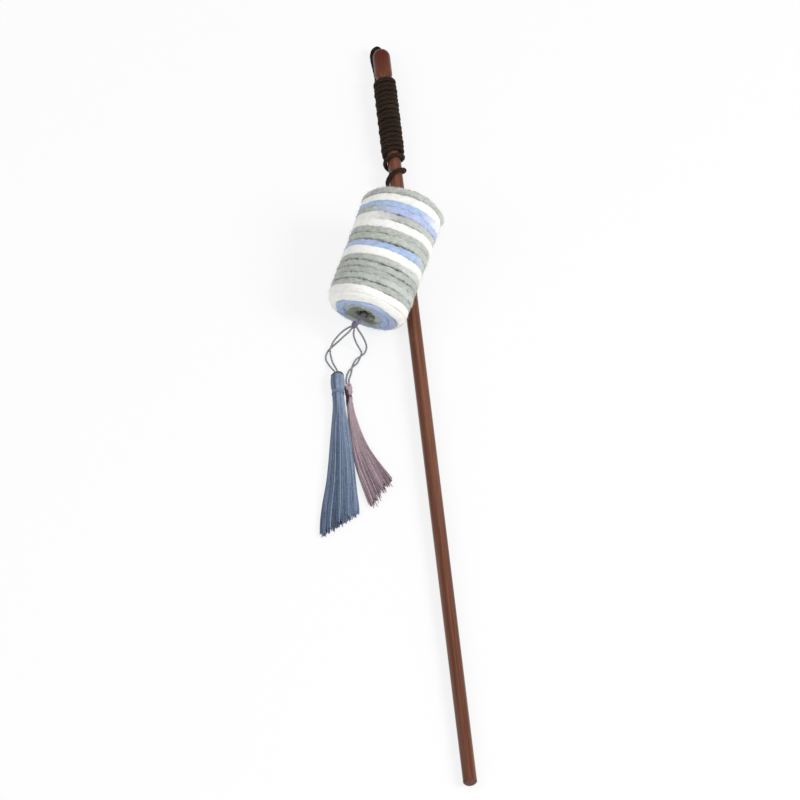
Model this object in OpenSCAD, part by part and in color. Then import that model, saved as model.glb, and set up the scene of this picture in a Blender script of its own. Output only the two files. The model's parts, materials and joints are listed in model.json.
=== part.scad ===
// Cat teaser wand, lying on a table. A varnished wooden stick carries a dark cord
// that is wound round it below the tip. A short lead runs on to a roll of striped
// yarn, and two thread tassels hang on looped threads from the far end of the roll.
// The stick points along +Y, with its butt at the -Y end. The table is at zero.
// The origin is on the table, in the middle of the box round the whole object.

/* [Stick] */
// Length of the stick, from its butt to the crown of its tip
stick_l = 418; // [330:1:600]
// Diameter of the straight grip
grip_d = 6.5; // [6.3:0.05:6.8]
// Length of the straight grip
grip_l = 130; // [60:1:200]
// Diameter of the shaft where it meets the tip
shaft_end_d = 6.3; // [6.0:0.05:6.4]
// Bevel round the butt
butt_bevel = 0.6; // [0.2:0.1:1.5]
// Diameter of the rounded tip
tip_d = 8.2; // [7.6:0.1:8.4]
// Length of the rounded tip
tip_l = 18; // [16:0.5:22]
// Length over which the shaft swells into the tip
swell_l = 4; // [3:0.5:6]
// Height of the tip's dome
dome_h = 4.4; // [3:0.1:6]
// Diameter of the cord hole in the crown
crown_hole_d = 2.5; // [2.3:0.1:3]
// Depth of the cord hole
crown_hole_depth = 8; // [5:0.5:12]
// Diameter of the hole's flared mouth
flare_d = 4.2; // [3.5:0.1:5]
// Depth of the flared mouth
flare_depth = 1.5; // [0.5:0.1:2]

/* [Cord on the stick] */
// Diameter of the dark cord
cord_d = 2.1; // [1.9:0.05:2.2]
// Clearance between the cord and the wood
cord_fit = 0.1; // [0.05:0.05:0.3]
// Turns in the tight part of the winding
tight_turns = 15.5; // [8:0.5:17]
// Step from turn to turn in the tight part
tight_pitch = 2.65; // [2.6:0.05:3]
// Turns in the loose part, which spreads out towards the butt
loose_turns = 2.5; // [1.5:1:2.5]
// Step from turn to turn where the loose part starts
loose_pitch = 4; // [3:0.1:6]
// How fast the loose turns spread, as length added by the first loose turn
loose_spread = 1.1; // [0.6:0.1:1.5]
// Distance from the foot of the tip to where the first turn crosses the side
first_turn_gap = 1.2; // [1.2:0.1:3]

/* [Yarn roll] */
// Outer diameter of the roll
roll_d = 38; // [34:0.5:39]
// Length of the roll
roll_l = 58; // [50:1:66]
// Diameter of the yarn
yarn_d = 3.3; // [2.8:0.1:3.3]
// Step from turn to turn of the yarn
yarn_pitch = 3.85; // [3.85:0.05:4.2]
// Radius of the bend of the yarn's middle line over the roll's two rims
rim_bend_r = 5; // [5:0.1:6]
// How far the loose turn at the near rim stands out, on the stick's far side
loose_rim_rise = 1.8; // [0:0.1:2.4]
// Radius at which the yarn's middle line starts at the centre of each face
face_start_r = 4.6; // [4.2:0.1:6]
// Clearance between the yarn and the core that it is wound on
yarn_fit = 0.3; // [0.1:0.05:0.5]
// Wall of the core tube
core_wall = 2; // [1:0.1:4]
// Thickness of the two core discs
disc_t = 3; // [2.6:0.1:4]
// Clearance between the lead and the holes in the discs
lead_fit = 0.35; // [0.2:0.05:0.6]
// Diameter of the knot that ends the lead
knot_d = 4; // [3.4:0.1:4.6]
// Height of the knot along the lead
knot_h = 3; // [2.4:0.1:3.2]
// Clearance between the knot and the disc above it
knot_fit = 0.1; // [0.05:0.05:0.3]

/* [Where the roll lies] */
// Distance back from the crown to the middle of the roll's far face
roll_back = 159.2; // [150:0.1:170]
// Distance of the far face's middle to the side of the stick
roll_side = 23.3; // [23:0.1:28]
// Direction of the roll in plan, in degrees from the X axis
roll_heading = 64.5; // [60:0.5:70]
// Clearance between the roll and the stick that it leans on
roll_rest = 0.3; // [0.3:0.05:1]

/* [Tassels] */
// Diameter of the loop threads
thread_d = 0.9; // [0.7:0.05:0.95]
// Diameter of the thread neck under the roll
neck_d = 2.2; // [1.8:0.1:2.4]
// Diameter of the rounded end of the neck, where the loops start
neck_end_d = 2.6; // [2.2:0.1:2.6]
// Length of the large tassel
blue_l = 85; // [70:1:100]
// Width of the large tassel's skirt before its slanted end
blue_w = 18.5; // [14:0.5:19]
// Diameter of the large tassel's head
blue_head_d = 6.4; // [5.5:0.1:6.4]
// Diameter of the large tassel's waist, under its binding
blue_waist_d = 4.7; // [4:0.1:5]
// Thickness of the large tassel's binding
blue_band_t = 0.8; // [0.5:0.1:0.8]
// Length of the large tassel's binding
blue_band_l = 1.6; // [1:0.1:2.4]
// Length of the small tassel
mauve_l = 64; // [55:1:75]
// Width of the small tassel's skirt before its slanted end
mauve_w = 15; // [12:0.5:16]
// Diameter of the small tassel's head
mauve_head_d = 3.2; // [2.8:0.1:3.2]
// Diameter of the small tassel's waist, under its binding
mauve_waist_d = 2.1; // [1.8:0.1:2.2]
// Thickness of the small tassel's binding
mauve_band_t = 0.5; // [0.3:0.05:0.5]
// Length of the small tassel's binding
mauve_band_l = 1.2; // [0.8:0.1:1.6]
// Clearance between a binding and the threads that it holds
band_fit = 0.05; // [0.02:0.01:0.1]

/* [Hidden] */

// Counts: facets of round parts, sides and rings of tubes, points of tassel sections
round_fn = 64;
small_fn = 48;
cord_sides = 8;
wound_sides = 6;
cord_rings_a_turn = 14;
yarn_rings_a_turn = 22;
tassel_sides = 32;

// Sizes that follow from the values above
cord_r = cord_d / 2;
wind_r = shaft_end_d / 2 + cord_fit + cord_r;
wind_out_r = wind_r + cord_r;
tip_foot = stick_l - tip_l;
first_turn_s = tip_foot - first_turn_gap;
loose_s = first_turn_s - tight_pitch * tight_turns;
last_turn = tight_turns + loose_turns;
// The winding holds the stick's far end off the table, so the stick slopes a little
stick_tilt = asin((wind_out_r - grip_d / 2) / (loose_s - loose_pitch * loose_turns));

roll_r = roll_d / 2;
yarn_r = yarn_d / 2;
yarn_path_r = roll_r - yarn_r;
yarn_path_h = roll_l / 2 - yarn_r;
rim_out_r = rim_bend_r + yarn_r;
core_r = roll_r - yarn_d - yarn_fit;
core_half_l = roll_l / 2 - yarn_d - yarn_fit;
disc_hole_r = cord_r + lead_fit;
// The core's ends are rounded, to follow the inside of the yarn's bend over the rims
core_edge_r = rim_bend_r - yarn_r - yarn_fit;

// A rounded end of a tube: distance along and radius of each ring, as shares of its radius
cap_shares = [[0.5, 0.87], [0.87, 0.5], [0.99, 0.14]];

// Small tools
function unit(v) = v / norm(v);
function mean(a, b, share) = a * (1 - share) + b * share;
function last(list) = list[len(list) - 1];

// A point beside the stick: across, along from the butt, and up, all square to its axis
function by_stick(across, along, up) = [
    across,
    along * cos(stick_tilt) - up * sin(stick_tilt),
    grip_d / 2 + along * sin(stick_tilt) + up * cos(stick_tilt)
];

// A point given by its angle round the stick, radius and distance from the butt
function round_stick(angle, radius, along) =
    by_stick(radius * cos(angle), along, radius * sin(angle));

// A point of a free route, given from the crown's distance, so it follows the stick
function from_crown(p) = [p.x, p.y + stick_l, p.z];

// Directions along a route, and the way that each section of a tube faces
function along_route(p) = [
    for (i = [0:len(p) - 1])
        unit(p[min(i + 1, len(p) - 1)] - p[max(i - 1, 0)])
];
function square_to(v, t) = unit(v - (v * t) * t);
function carried(t, v, i = 0) =
    i >= len(t) ? [] :
    let (m = square_to(v, t[i])) concat([m], carried(t, m, i + 1));

// One ring of a tube
function ring(c, t, v, r, sides) = let (w = cross(t, v)) [
    for (k = [0:sides - 1])
        c + r * (cos(360 * k / sides) * v + sin(360 * k / sides) * w)
];

// A closed skin over a row of rings that have equal numbers of points. Each end is closed
// from the middle of its ring, so a ring with grooves closes too.
function middle(ring) = [for (p = ring) 1] * ring / len(ring);
module skin(rings) {
    n = len(rings[0]);
    m = len(rings);
    polyhedron(
        points = concat([for (r = rings) each r], [middle(rings[0]), middle(last(rings))]),
        faces = concat(
            [for (k = [0:n - 1]) [m * n, k, (k + 1) % n]],
            [for (k = [0:n - 1]) [m * n + 1, (m - 1) * n + (k + 1) % n, (m - 1) * n + k]],
            [for (i = [0:m - 2], k = [0:n - 1])
                [i * n + k, (i + 1) * n + k, (i + 1) * n + (k + 1) % n]],
            [for (i = [0:m - 2], k = [0:n - 1])
                [i * n + k, (i + 1) * n + (k + 1) % n, i * n + (k + 1) % n]]
        )
    );
}

// A tube of one radius, or of one radius a ring, along a free route
module cord_along(p, r, sides = cord_sides) {
    t = along_route(p);
    v = carried(t, abs(t[0].x) < abs(t[0].z) ? [1, 0, 0] : [0, 0, 1]);
    skin([
        for (i = [0:len(p) - 1])
            ring(p[i], t[i], v[i], is_list(r) ? r[i] : r, sides)
    ]);
}

// A tube along turns, whose sections face away from what they are wound on
module wound_along(p, out, r) {
    t = along_route(p);
    skin([
        for (i = [0:len(p) - 1])
            ring(p[i], t[i], square_to(out[i], t[i]), r, wound_sides)
    ]);
}

// The least distance between turns, measured between points over half a turn apart
function least_gap(p, d, rings_a_turn) = min([
    for (i = [0:len(p) - 1], j = [i + floor(rings_a_turn / 2):1:len(p) - 1])
        norm(p[i] - p[j])
]) - d;

// The cord on the stick
// Distance from the butt after a number of turns: tight at first, then spreading
function turn_s(turn) =
    turn <= tight_turns
        ? first_turn_s - tight_pitch * turn
        : loose_s - loose_pitch * (turn - tight_turns)
            - loose_spread * pow(turn - tight_turns, 3);
function turn_point(turn) = round_stick(360 * turn, wind_r, turn_s(turn));

// The turns start a share of a turn before the first crossing of the right side
start_turn_share = -0.3;
wound_rings = round((last_turn - start_turn_share) * cord_rings_a_turn);
wound_turns = [
    for (i = [0:wound_rings]) mean(start_turn_share, last_turn, i / wound_rings)
];
wound_points = [for (turn = wound_turns) turn_point(turn)];
start_way = unit(wound_points[1] - wound_points[0]);
// Past the last turn the cord rises off the stick's right side, to stand upright
rise_shares = [[0, -0.3, 0.45], [0, -0.49, 0.9]];
wound_route = concat(
    [wound_points[0] - start_way * cord_d],
    wound_points,
    [for (share = rise_shares) last(wound_points) + share * wind_r],
    [last(wound_points) + last(rise_shares) * wind_r + [0, 0, cord_d]]
);
wound_out = concat(
    [round_stick(360 * start_turn_share, wind_r, 0) - by_stick(0, 0, 0)],
    [for (turn = wound_turns) round_stick(360 * turn, wind_r, 0) - by_stick(0, 0, 0)],
    [for (share = concat(rise_shares, [0])) [1, 0, 0]]
);
wound_end = last(wound_route);
echo(least_gap_of_cord_winding = least_gap(wound_route, cord_d, cord_rings_a_turn));

// From the crown's hole over the dome and down the tip's lower left side:
// angle round the stick, radius, and distance back from the crown
run_route = [
    [190, 0, 7], [190, 0, 4], [190, 0, 1.2], [190, 0.4, -0.5], [190, 1.4, -1.6],
    [191, 2.9, -1.5], [193, 4.2, -0.4], [197, 5, 1.4], [203, 5.3, 4.2], [212, 5.3, 8],
    [218, 5.3, 12], [219, 5.3, 14.6], [219, 5.2, 16.2], [220.5, 5.05, 17.3]
];
run_points = concat(
    [for (p = run_route) round_stick(p.x, p.y, stick_l - p.z)],
    [wound_route[0] - start_way * cord_fit, wound_route[0]]
);

// The roll
// The roll leans on the stick: its slope is found from the distance between the axes
function roll_way(tilt) = [
    cos(tilt) * cos(roll_heading), cos(tilt) * sin(roll_heading), sin(tilt)
];
function far_face_z(tilt) =
    (roll_r - rim_out_r) * cos(tilt) + rim_out_r * (1 - sin(tilt));
function far_face(tilt) = [-roll_side, stick_l - roll_back, far_face_z(tilt)];
stick_way = [0, cos(stick_tilt), sin(stick_tilt)];
function axes_apart(tilt) =
    let (n = unit(cross(stick_way, roll_way(tilt))))
        abs((far_face(tilt) - by_stick(0, 0, 0)) * n);
lean_r = mean(grip_d, shaft_end_d, (stick_l - roll_back - grip_l) / (tip_foot - grip_l)) / 2;
axes_needed = roll_r + lean_r + roll_rest;
function lean(low, high, steps = 30) =
    steps == 0 ? high :
    let (mid = (low + high) / 2)
        axes_apart(mid) < axes_needed
            ? lean(mid, high, steps - 1)
            : lean(low, mid, steps - 1);
flattest = 0;
steepest = 30;
roll_tilt = lean(flattest, steepest);
roll_up = roll_way(roll_tilt);
roll_far = far_face(roll_tilt);
roll_near = roll_far + roll_up * roll_l;
roll_mid = (roll_far + roll_near) / 2;

// The yarn's middle line in section: out over the far face, round the rim, along the
// side, round the near rim and in over the near face, by the length travelled
face_l = yarn_path_r - rim_bend_r - face_start_r;
bend_l = rim_bend_r * PI / 2;
side_l = 2 * (yarn_path_h - rim_bend_r);
yarn_l = 2 * face_l + 2 * bend_l + side_l;
yarn_turns = yarn_l / yarn_pitch;
function half_section(u) =
    u < face_l
        ? [[face_start_r + u, -yarn_path_h], [0, -1]] :
    u < face_l + bend_l
        ? let (a = 90 * (u - face_l) / bend_l)
            [[yarn_path_r - rim_bend_r * (1 - sin(a)),
              -yarn_path_h + rim_bend_r * (1 - cos(a))], [sin(a), -cos(a)]]
        : [[yarn_path_r, -yarn_path_h + rim_bend_r + u - face_l - bend_l], [1, 0]];
function mirrored(s) = [[s[0].x, -s[0].y], [s[1].x, -s[1].y]];
function section(u) = u < yarn_l / 2 ? half_section(u) : mirrored(half_section(yarn_l - u));
yarn_rings = round(yarn_turns * yarn_rings_a_turn);
function yarn_u(i) = yarn_l * i / yarn_rings;
function swept(v, angle) = [v.x * cos(angle), v.x * sin(angle), v.y];
// One turn over the near rim is loose. It stands out most at this angle round the roll.
loose_angle = 270;
loose_rise_shares = [1, 0.85];
near_bend_mid = yarn_l - face_l - bend_l / 2;
loose_u = yarn_pitch
    * (round(near_bend_mid / yarn_pitch - loose_angle / 360) + loose_angle / 360);
function loosened(u) =
    let (turns_off = min(1, abs(u - loose_u) / yarn_pitch))
        loose_rise_shares * loose_rim_rise * pow(cos(90 * turns_off), 2);
yarn_points = [
    for (i = [0:yarn_rings])
        let (u = yarn_u(i)) swept(section(u)[0] + loosened(u), 360 * u / yarn_pitch)
];
yarn_out = [
    for (i = [0:yarn_rings]) swept(section(yarn_u(i))[1], 360 * yarn_u(i) / yarn_pitch)
];
// Each end runs straight for one diameter, turned inwards from the spiral
tuck_angle = 28;
function tucked(p, way, turn) =
    let (side = [-way.y, way.x, 0] * turn)
        p + (way * cos(tuck_angle) + side * sin(tuck_angle)) * yarn_d;
yarn_ways = along_route(yarn_points);
yarn_route = concat(
    [tucked(yarn_points[0], -yarn_ways[0], -1)],
    yarn_points,
    [tucked(last(yarn_points), last(yarn_ways), 1)]
);
yarn_route_out = concat([yarn_out[0]], yarn_out, [last(yarn_out)]);
echo(least_gap_of_yarn_winding = least_gap(yarn_route, yarn_d, yarn_rings_a_turn));

// The lead
lead_upper_free = [[4.3, -90.7, 15.6], [4.2, -92.5, 18.2]];
lead_turn_point = [3.9, -94.9, 20.8];
lead_lower_free = [
    [3.5, -97.2, 23.6], [3.2, -99.6, 26.4], [2.9, -102.4, 29.1]
];
lead_turn_at = from_crown(lead_turn_point);
lead_upper_route = concat(
    [wound_end, wound_end + [0, 0, cord_d]],
    [for (p = lead_upper_free) from_crown(p)],
    [lead_turn_at]
);
// The upper lead ends in a rounded cap, round which the lower lead turns
lead_way = unit(from_crown(lead_lower_free[0]) - lead_turn_at);
lead_gap = 0.05;
knot_top = roll_mid - roll_up * (core_half_l + knot_fit);
lead_lower_route = concat(
    [lead_turn_at + lead_way * (cord_r + lead_gap)],
    [for (p = lead_lower_free) from_crown(p)],
    [
        roll_near + roll_up * cord_d, roll_near,
        roll_mid + roll_up * core_half_l, roll_mid, knot_top
    ]
);

// The neck and the loops
knot_end = knot_top - roll_up * knot_h;
neck_free = [
    [-25.5, -161.8, 16], [-26.9, -162, 14.9], [-28, -161.7, 13.5]
];
loop_start_point = [-28.4, -161.1, 12];
loop_start = from_crown(loop_start_point);
neck_route = concat(
    [
        knot_end, roll_far - roll_up * neck_d / 2, roll_far - roll_up * neck_d
    ],
    [for (p = neck_free) from_crown(p)],
    [loop_start],
    [for (share = cap_shares) loop_start - [0, 0, neck_end_d / 2 * share[0]]]
);
neck_radii = concat(
    [for (i = [0:5]) neck_d / 2],
    [neck_end_d / 2],
    [for (share = cap_shares) neck_end_d / 2 * share[1]]
);

// Each loop is one thread: out from the neck, through the tassel's head and back
blue_loop_route = [
    [-29.9, -161.1, 11.3], [-31.8, -160.9, 9.6], [-33.9, -161, 7.4], [-35.9, -161.6, 5.2],
    [-37.7, -162.6, 3.2], [-38.9, -164.1, 2], [-39.8, -166.3, 1.7], [-39.9, -168.6, 1.3],
    [-39.7, -171.1, 1.3], [-39.3, -174.1, 1.8], [-38.5, -177.2, 2.7], [-37.8, -180, 3.2],
    [-37.4, -182.2, 3.2], [-37.4, -184.4, 3.2], [-38, -185.2, 3.2], [-38.6, -184.4, 3.2],
    [-38.7, -182.4, 3.2], [-39.1, -180, 3], [-40.2, -177.2, 2.1], [-41.3, -174.2, 1.1],
    [-42.2, -171.4, 0.7], [-42, -168.8, 0.6], [-40.8, -166.3, 0.6], [-38.8, -164.2, 0.6],
    [-36.8, -162.9, 1.4], [-34.8, -162.5, 3.6], [-32.9, -162.4, 6.2], [-31.1, -162.4, 8.6],
    [-29.5, -162.3, 11.2]
];
mauve_loop_route = [
    [-27.1, -161.6, 11], [-26.2, -161.9, 9], [-25.1, -162.4, 6.6], [-24, -163.2, 4.2],
    [-23.1, -164.8, 2.2], [-23, -166.9, 1.3], [-24.2, -169.6, 1.3], [-26.1, -171.5, 1.7],
    [-28.2, -172.8, 1.6], [-29.7, -174.6, 1], [-30.7, -176.9, 0.6], [-31.2, -179.3, 0.7],
    [-31.9, -181.6, 1.1], [-32.8, -184.2, 1.5], [-33, -186.8, 1.6], [-33.1, -188.6, 1.6],
    [-33.6, -189.2, 1.6], [-34.1, -188.6, 1.6], [-34.2, -186.6, 1.6], [-34.1, -184.4, 1.4],
    [-33.8, -182.6, 1.2], [-33.3, -180.9, 1.2], [-32.1, -178.9, 1.6], [-30.3, -177.2, 1.7],
    [-28.6, -175.5, 1.3], [-27.4, -173.5, 0.7], [-26.4, -171.3, 0.6], [-25.5, -169, 1],
    [-26.4, -166.9, 1.9], [-27.5, -165.5, 3.8], [-28.3, -164.4, 6.2], [-28.7, -163.5, 8.6],
    [-28.3, -162.5, 11]
];

// The tassels
// Where each head starts, and the way that the tassel lies, in degrees
blue_start_point = [-38, -181, 0];
blue_at = from_crown(blue_start_point);
blue_heading = 265.3;
mauve_start_point = [-33.5, -186.6, 0];
mauve_at = from_crown(mauve_start_point);
mauve_heading = 278.2;
blue_mid_z = blue_waist_d / 2 + band_fit + blue_band_t;
mauve_mid_z = mauve_waist_d / 2 + band_fit + mauve_band_t;

// Sections of a tassel: distance along and offset sideways as shares of its length,
// width as a share of the skirt's width, thickness as a share of the width of the
// head, and the slant of the section in degrees. The heads come first.
blue_head_shares = [
    [0, 0.4], [0.015, 0.78], [0.045, 0.98], [0.085, 1], [0.115, 0.9]
];
blue_band_share = 0.138;
blue_skirt_shares = [
    [0.165, 0.003, 0.285, 0.77, 0], [0.235, 0.007, 0.315, 0.78, 0],
    [0.36, 0.012, 0.41, 0.76, 0], [0.48, 0.0134, 0.52, 0.72, 0],
    [0.61, 0.0134, 0.63, 0.68, 0], [0.72, 0.0115, 0.735, 0.64, 6],
    [0.84, 0.006, 0.9, 0.6, 16], [0.93, 0.002, 1.06, 0.56, 28],
    [1, 0, 1.2, 0.5, 38]
];
mauve_head_shares = [
    [0, 0.45], [0.012, 0.8], [0.035, 0.98], [0.065, 1], [0.095, 0.85]
];
mauve_band_share = 0.12;
mauve_skirt_shares = [
    [0.145, -0.026, 0.17, 0.85, 0], [0.22, -0.036, 0.2, 0.9, 0],
    [0.32, -0.045, 0.25, 0.95, 0], [0.42, -0.052, 0.33, 1, 0],
    [0.54, -0.053, 0.47, 1, 0], [0.64, -0.048, 0.6, 1, 4],
    [0.76, -0.036, 0.78, 1, 10], [0.88, -0.019, 0.98, 0.95, 22],
    [1, 0, 1.24, 0.85, 33]
];

// Rows of [distance, offset, width, thickness, middle height, slant], in millimetres,
// and how far the skirt's form has set in, from 0 at the head to 1
function tassel_rows(l, w, head_d, waist_d, mid_z, heads, band_share, skirts) = concat(
    [for (s = heads)
        [s[0] * l, skirts[0][1] * s[0] / skirts[0][0] * l, s[1] * head_d, s[1] * head_d,
         mid_z, 0, 0]],
    [for (side = [-1, 0, 1])
        [(band_share + side * (skirts[0][0] - band_share) / 2) * l,
         skirts[0][1] * band_share / skirts[0][0] * l, waist_d, waist_d, mid_z, 0, 0]],
    [for (s = skirts)
        let (
            t = s[3] * head_d,
            set_in = min(1, (s[0] - skirts[0][0]) / (skirts[2][0] - skirts[0][0]))
        )
            [s[0] * l, s[1] * l, s[2] * w, t, mean(mid_z, t / 2, set_in), s[4], set_in]]
);
blue_rows = tassel_rows(
    blue_l, blue_w, blue_head_d, blue_waist_d, blue_mid_z,
    blue_head_shares, blue_band_share, blue_skirt_shares
);
mauve_rows = tassel_rows(
    mauve_l, mauve_w, mauve_head_d, mauve_waist_d, mauve_mid_z,
    mauve_head_shares, mauve_band_share, mauve_skirt_shares
);

// A skirt's outline is a little fuller than an ellipse, with a ridge for each lock of threads
fullness_share = 0.85;
groove_share = 0.13;
function fuller(c, set_in) = sign(c) * pow(abs(c), mean(1, fullness_share, set_in));
function tassel_middle(row, at, heading) = [
    at.x + row[0] * cos(heading) - row[1] * sin(heading),
    at.y + row[0] * sin(heading) + row[1] * cos(heading),
    row[4]
];
function tassel_rings(rows, at, heading) =
    let (
        mids = [for (row = rows) tassel_middle(row, at, heading)],
        flat = [for (m = mids) [m.x, m.y, 0]],
        ways = along_route(flat)
    ) [
        for (i = [0:len(rows) - 1])
            let (
                way = ways[i],
                slant = rows[i][5],
                set_in = rows[i][6],
                side = [way.y, -way.x, 0] * cos(slant) + way * sin(slant)
            ) [
                for (k = [0:tassel_sides - 1])
                    let (
                        a = 360 * k / tassel_sides,
                        ridge = 1 - groove_share * set_in * (k % 2)
                    )
                        mids[i] + side * ridge * fuller(cos(a), set_in) * rows[i][2] / 2
                        - [0, 0, 1] * ridge * fuller(sin(a), set_in) * rows[i][3] / 2
            ]
    ];
blue_rings = tassel_rings(blue_rows, blue_at, blue_heading);
mauve_rings = tassel_rings(mauve_rows, mauve_at, mauve_heading);

// The binding sits at the middle of the waist
function band_place(rows, heads, at, heading) = tassel_middle(rows[len(heads) + 1], at, heading);

// The origin: middle of the box round the whole object
roll_down = [
    sin(roll_tilt) * cos(roll_heading), sin(roll_tilt) * sin(roll_heading), -cos(roll_tilt)
];
roll_left = [-sin(roll_heading), cos(roll_heading), 0];
right_x = yarn_r + max([
    for (p = yarn_points) (roll_mid + p.x * roll_down + p.y * roll_left + p.z * roll_up).x
]);
left_x = min([for (r = blue_rings, p = r) p.x]);
shift = [-(left_x + right_x) / 2, -stick_l * cos(stick_tilt) / 2, 0];
echo(origin_shift = shift);
echo(swing_at = wound_end + shift, lift_at = lead_turn_at + shift);
echo(loops_at = loop_start + shift, roll_far_at = roll_far + shift, roll_up = roll_up);
echo(roll_tilt = roll_tilt, stick_tilt = stick_tilt, butt_at = by_stick(0, 0, 0) + shift);

module seated() {
    translate(shift) children();
}

module along_stick() {
    translate(by_stick(0, 0, 0)) rotate([stick_tilt - 90, 0, 0]) children();
}

// The roll's own frame: its axis is Z, and its far face is at the lower end
module along_roll() {
    translate(roll_mid) rotate([0, 90 - roll_tilt, roll_heading]) children();
}

// Pieces
// The stick is turned in one piece: straight grip, slight taper, swollen tip, dome
swell_steps = 6;
dome_steps = 10;
function dome_s(r) = stick_l - dome_h + dome_h * sqrt(1 - pow(2 * r / tip_d, 2));
flare_angle = acos(flare_d / tip_d);
stick_outline = concat(
    [
        [0, 0], [grip_d / 2 - butt_bevel, 0], [grip_d / 2, butt_bevel],
        [grip_d / 2, grip_l]
    ],
    [for (i = [0:swell_steps])
        [mean(shaft_end_d, tip_d, (1 - cos(180 * i / swell_steps)) / 2) / 2,
         tip_foot + swell_l * i / swell_steps]],
    [for (i = [0:dome_steps])
        let (a = flare_angle * i / dome_steps)
            [tip_d / 2 * cos(a), stick_l - dome_h * (1 - sin(a))]],
    [
        [(flare_d + crown_hole_d) / 4, dome_s(flare_d / 2) - flare_depth / 4],
        [crown_hole_d / 2, dome_s(flare_d / 2) - flare_depth],
        [crown_hole_d / 2, stick_l - crown_hole_depth],
        [0, stick_l - crown_hole_depth]
    ]
);

module stick() {
    seated() color([0.34, 0.21, 0.17]) along_stick()
        rotate_extrude($fn = round_fn) polygon(stick_outline);
}

module tip_cord_run() {
    seated() color([0.17, 0.14, 0.12]) cord_along(run_points, cord_r);
}

module cord_winding() {
    seated() color([0.17, 0.14, 0.12]) wound_along(wound_route, wound_out, cord_r);
}

module lead_upper() {
    seated() color([0.17, 0.14, 0.12])
        cord_along(
            concat(
                lead_upper_route,
                [for (share = cap_shares) lead_turn_at + lead_way * cord_r * share[0]]
            ),
            concat(
                [for (p = lead_upper_route) cord_r],
                [for (share = cap_shares) cord_r * share[1]]
            )
        );
}

module lead_lower() {
    seated() color([0.17, 0.14, 0.12]) cord_along(lead_lower_route, cord_r);
}

// The knot is flat where the lead enters it and where the neck leaves it
knot_steps = 8;
module end_knot() {
    seated() color([0.2, 0.22, 0.2])
        along_roll() translate([0, 0, -core_half_l - knot_fit - knot_h])
            rotate_extrude($fn = small_fn)
                polygon(concat(
                    [[0, 0]],
                    [for (i = [0:knot_steps])
                        [mean(neck_end_d, knot_d, sin(180 * i / knot_steps)) / 2,
                         knot_h * (1 - cos(180 * i / knot_steps)) / 2]],
                    [[0, knot_h]]
                ));
}

module thread_neck() {
    seated() color([0.51, 0.49, 0.57]) cord_along(neck_route, neck_radii);
}

module core_tube() {
    tube_l = 2 * (core_half_l - disc_t);
    seated() color([0.72, 0.6, 0.45]) along_roll()
        rotate_extrude($fn = small_fn)
            translate([core_r - core_wall, -tube_l / 2]) square([core_wall, tube_l]);
}

// A card disc that closes one end of the tube, with a hole for the lead and a rounded edge
edge_steps = 5;
edge_start = asin(max(0, core_edge_r - disc_t) / core_edge_r);
disc_outline = concat(
    [[disc_hole_r, 0]],
    disc_t > core_edge_r ? [[core_r, 0]] : [],
    [for (i = [0:edge_steps])
        let (a = mean(edge_start, 90, i / edge_steps))
            [core_r - core_edge_r * (1 - cos(a)), disc_t - core_edge_r * (1 - sin(a))]],
    [[disc_hole_r, disc_t]]
);
module core_disc() {
    rotate_extrude($fn = small_fn) polygon(disc_outline);
}

module core_disc_near() {
    seated() color([0.72, 0.6, 0.45]) along_roll()
        translate([0, 0, core_half_l - disc_t]) core_disc();
}

module core_disc_far() {
    seated() color([0.72, 0.6, 0.45]) along_roll()
        translate([0, 0, disc_t - core_half_l]) rotate([180, 0, 0]) core_disc();
}

module yarn_winding() {
    seated() color([0.75, 0.78, 0.77]) along_roll()
        wound_along(yarn_route, yarn_route_out, yarn_r);
}

module blue_loop() {
    seated() color([0.49, 0.51, 0.53])
        cord_along([for (p = blue_loop_route) from_crown(p)], thread_d / 2);
}

module mauve_loop() {
    seated() color([0.49, 0.51, 0.53])
        cord_along([for (p = mauve_loop_route) from_crown(p)], thread_d / 2);
}

module blue_tassel() {
    seated() color([0.39, 0.48, 0.62]) skin(blue_rings);
}

module mauve_tassel() {
    seated() color([0.65, 0.55, 0.58]) skin(mauve_rings);
}

// A band with rounded edges round a tassel's waist
edge_share = 0.6;
module binding(waist_d, t, l, at, heading) {
    translate(at) rotate([0, 90, heading])
        rotate_extrude($fn = small_fn)
            translate([waist_d / 2 + band_fit, 0])
                polygon([
                    [0, -l / 2], [t * edge_share, -l / 2], [t, -l / 4],
                    [t, l / 4], [t * edge_share, l / 2], [0, l / 2]
                ]);
}

module blue_binding() {
    seated() color([0.25, 0.31, 0.38])
        binding(
            blue_waist_d, blue_band_t, blue_band_l,
            band_place(blue_rows, blue_head_shares, blue_at, blue_heading), blue_heading
        );
}

module mauve_binding() {
    seated() color([0.24, 0.18, 0.25])
        binding(
            mauve_waist_d, mauve_band_t, mauve_band_l,
            band_place(mauve_rows, mauve_head_shares, mauve_at, mauve_heading), mauve_heading
        );
}

stick();
tip_cord_run();
cord_winding();
lead_upper();
lead_lower();
end_knot();
thread_neck();
core_tube();
core_disc_near();
core_disc_far();
yarn_winding();
blue_loop();
blue_tassel();
blue_binding();
mauve_loop();
mauve_tassel();
mauve_binding();
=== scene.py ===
"""Looks of the cat teaser wand: dark cord, striped yarn roll, looped threads and tassels.

Shapes are worked out in millimetres in the CAD source's own frame, and row() moves them to
the row frame in metres. Angles are in radians where nothing else is said.
"""

import json

import bpy
import numpy as np
from mathutils import Matrix, Vector


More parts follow.
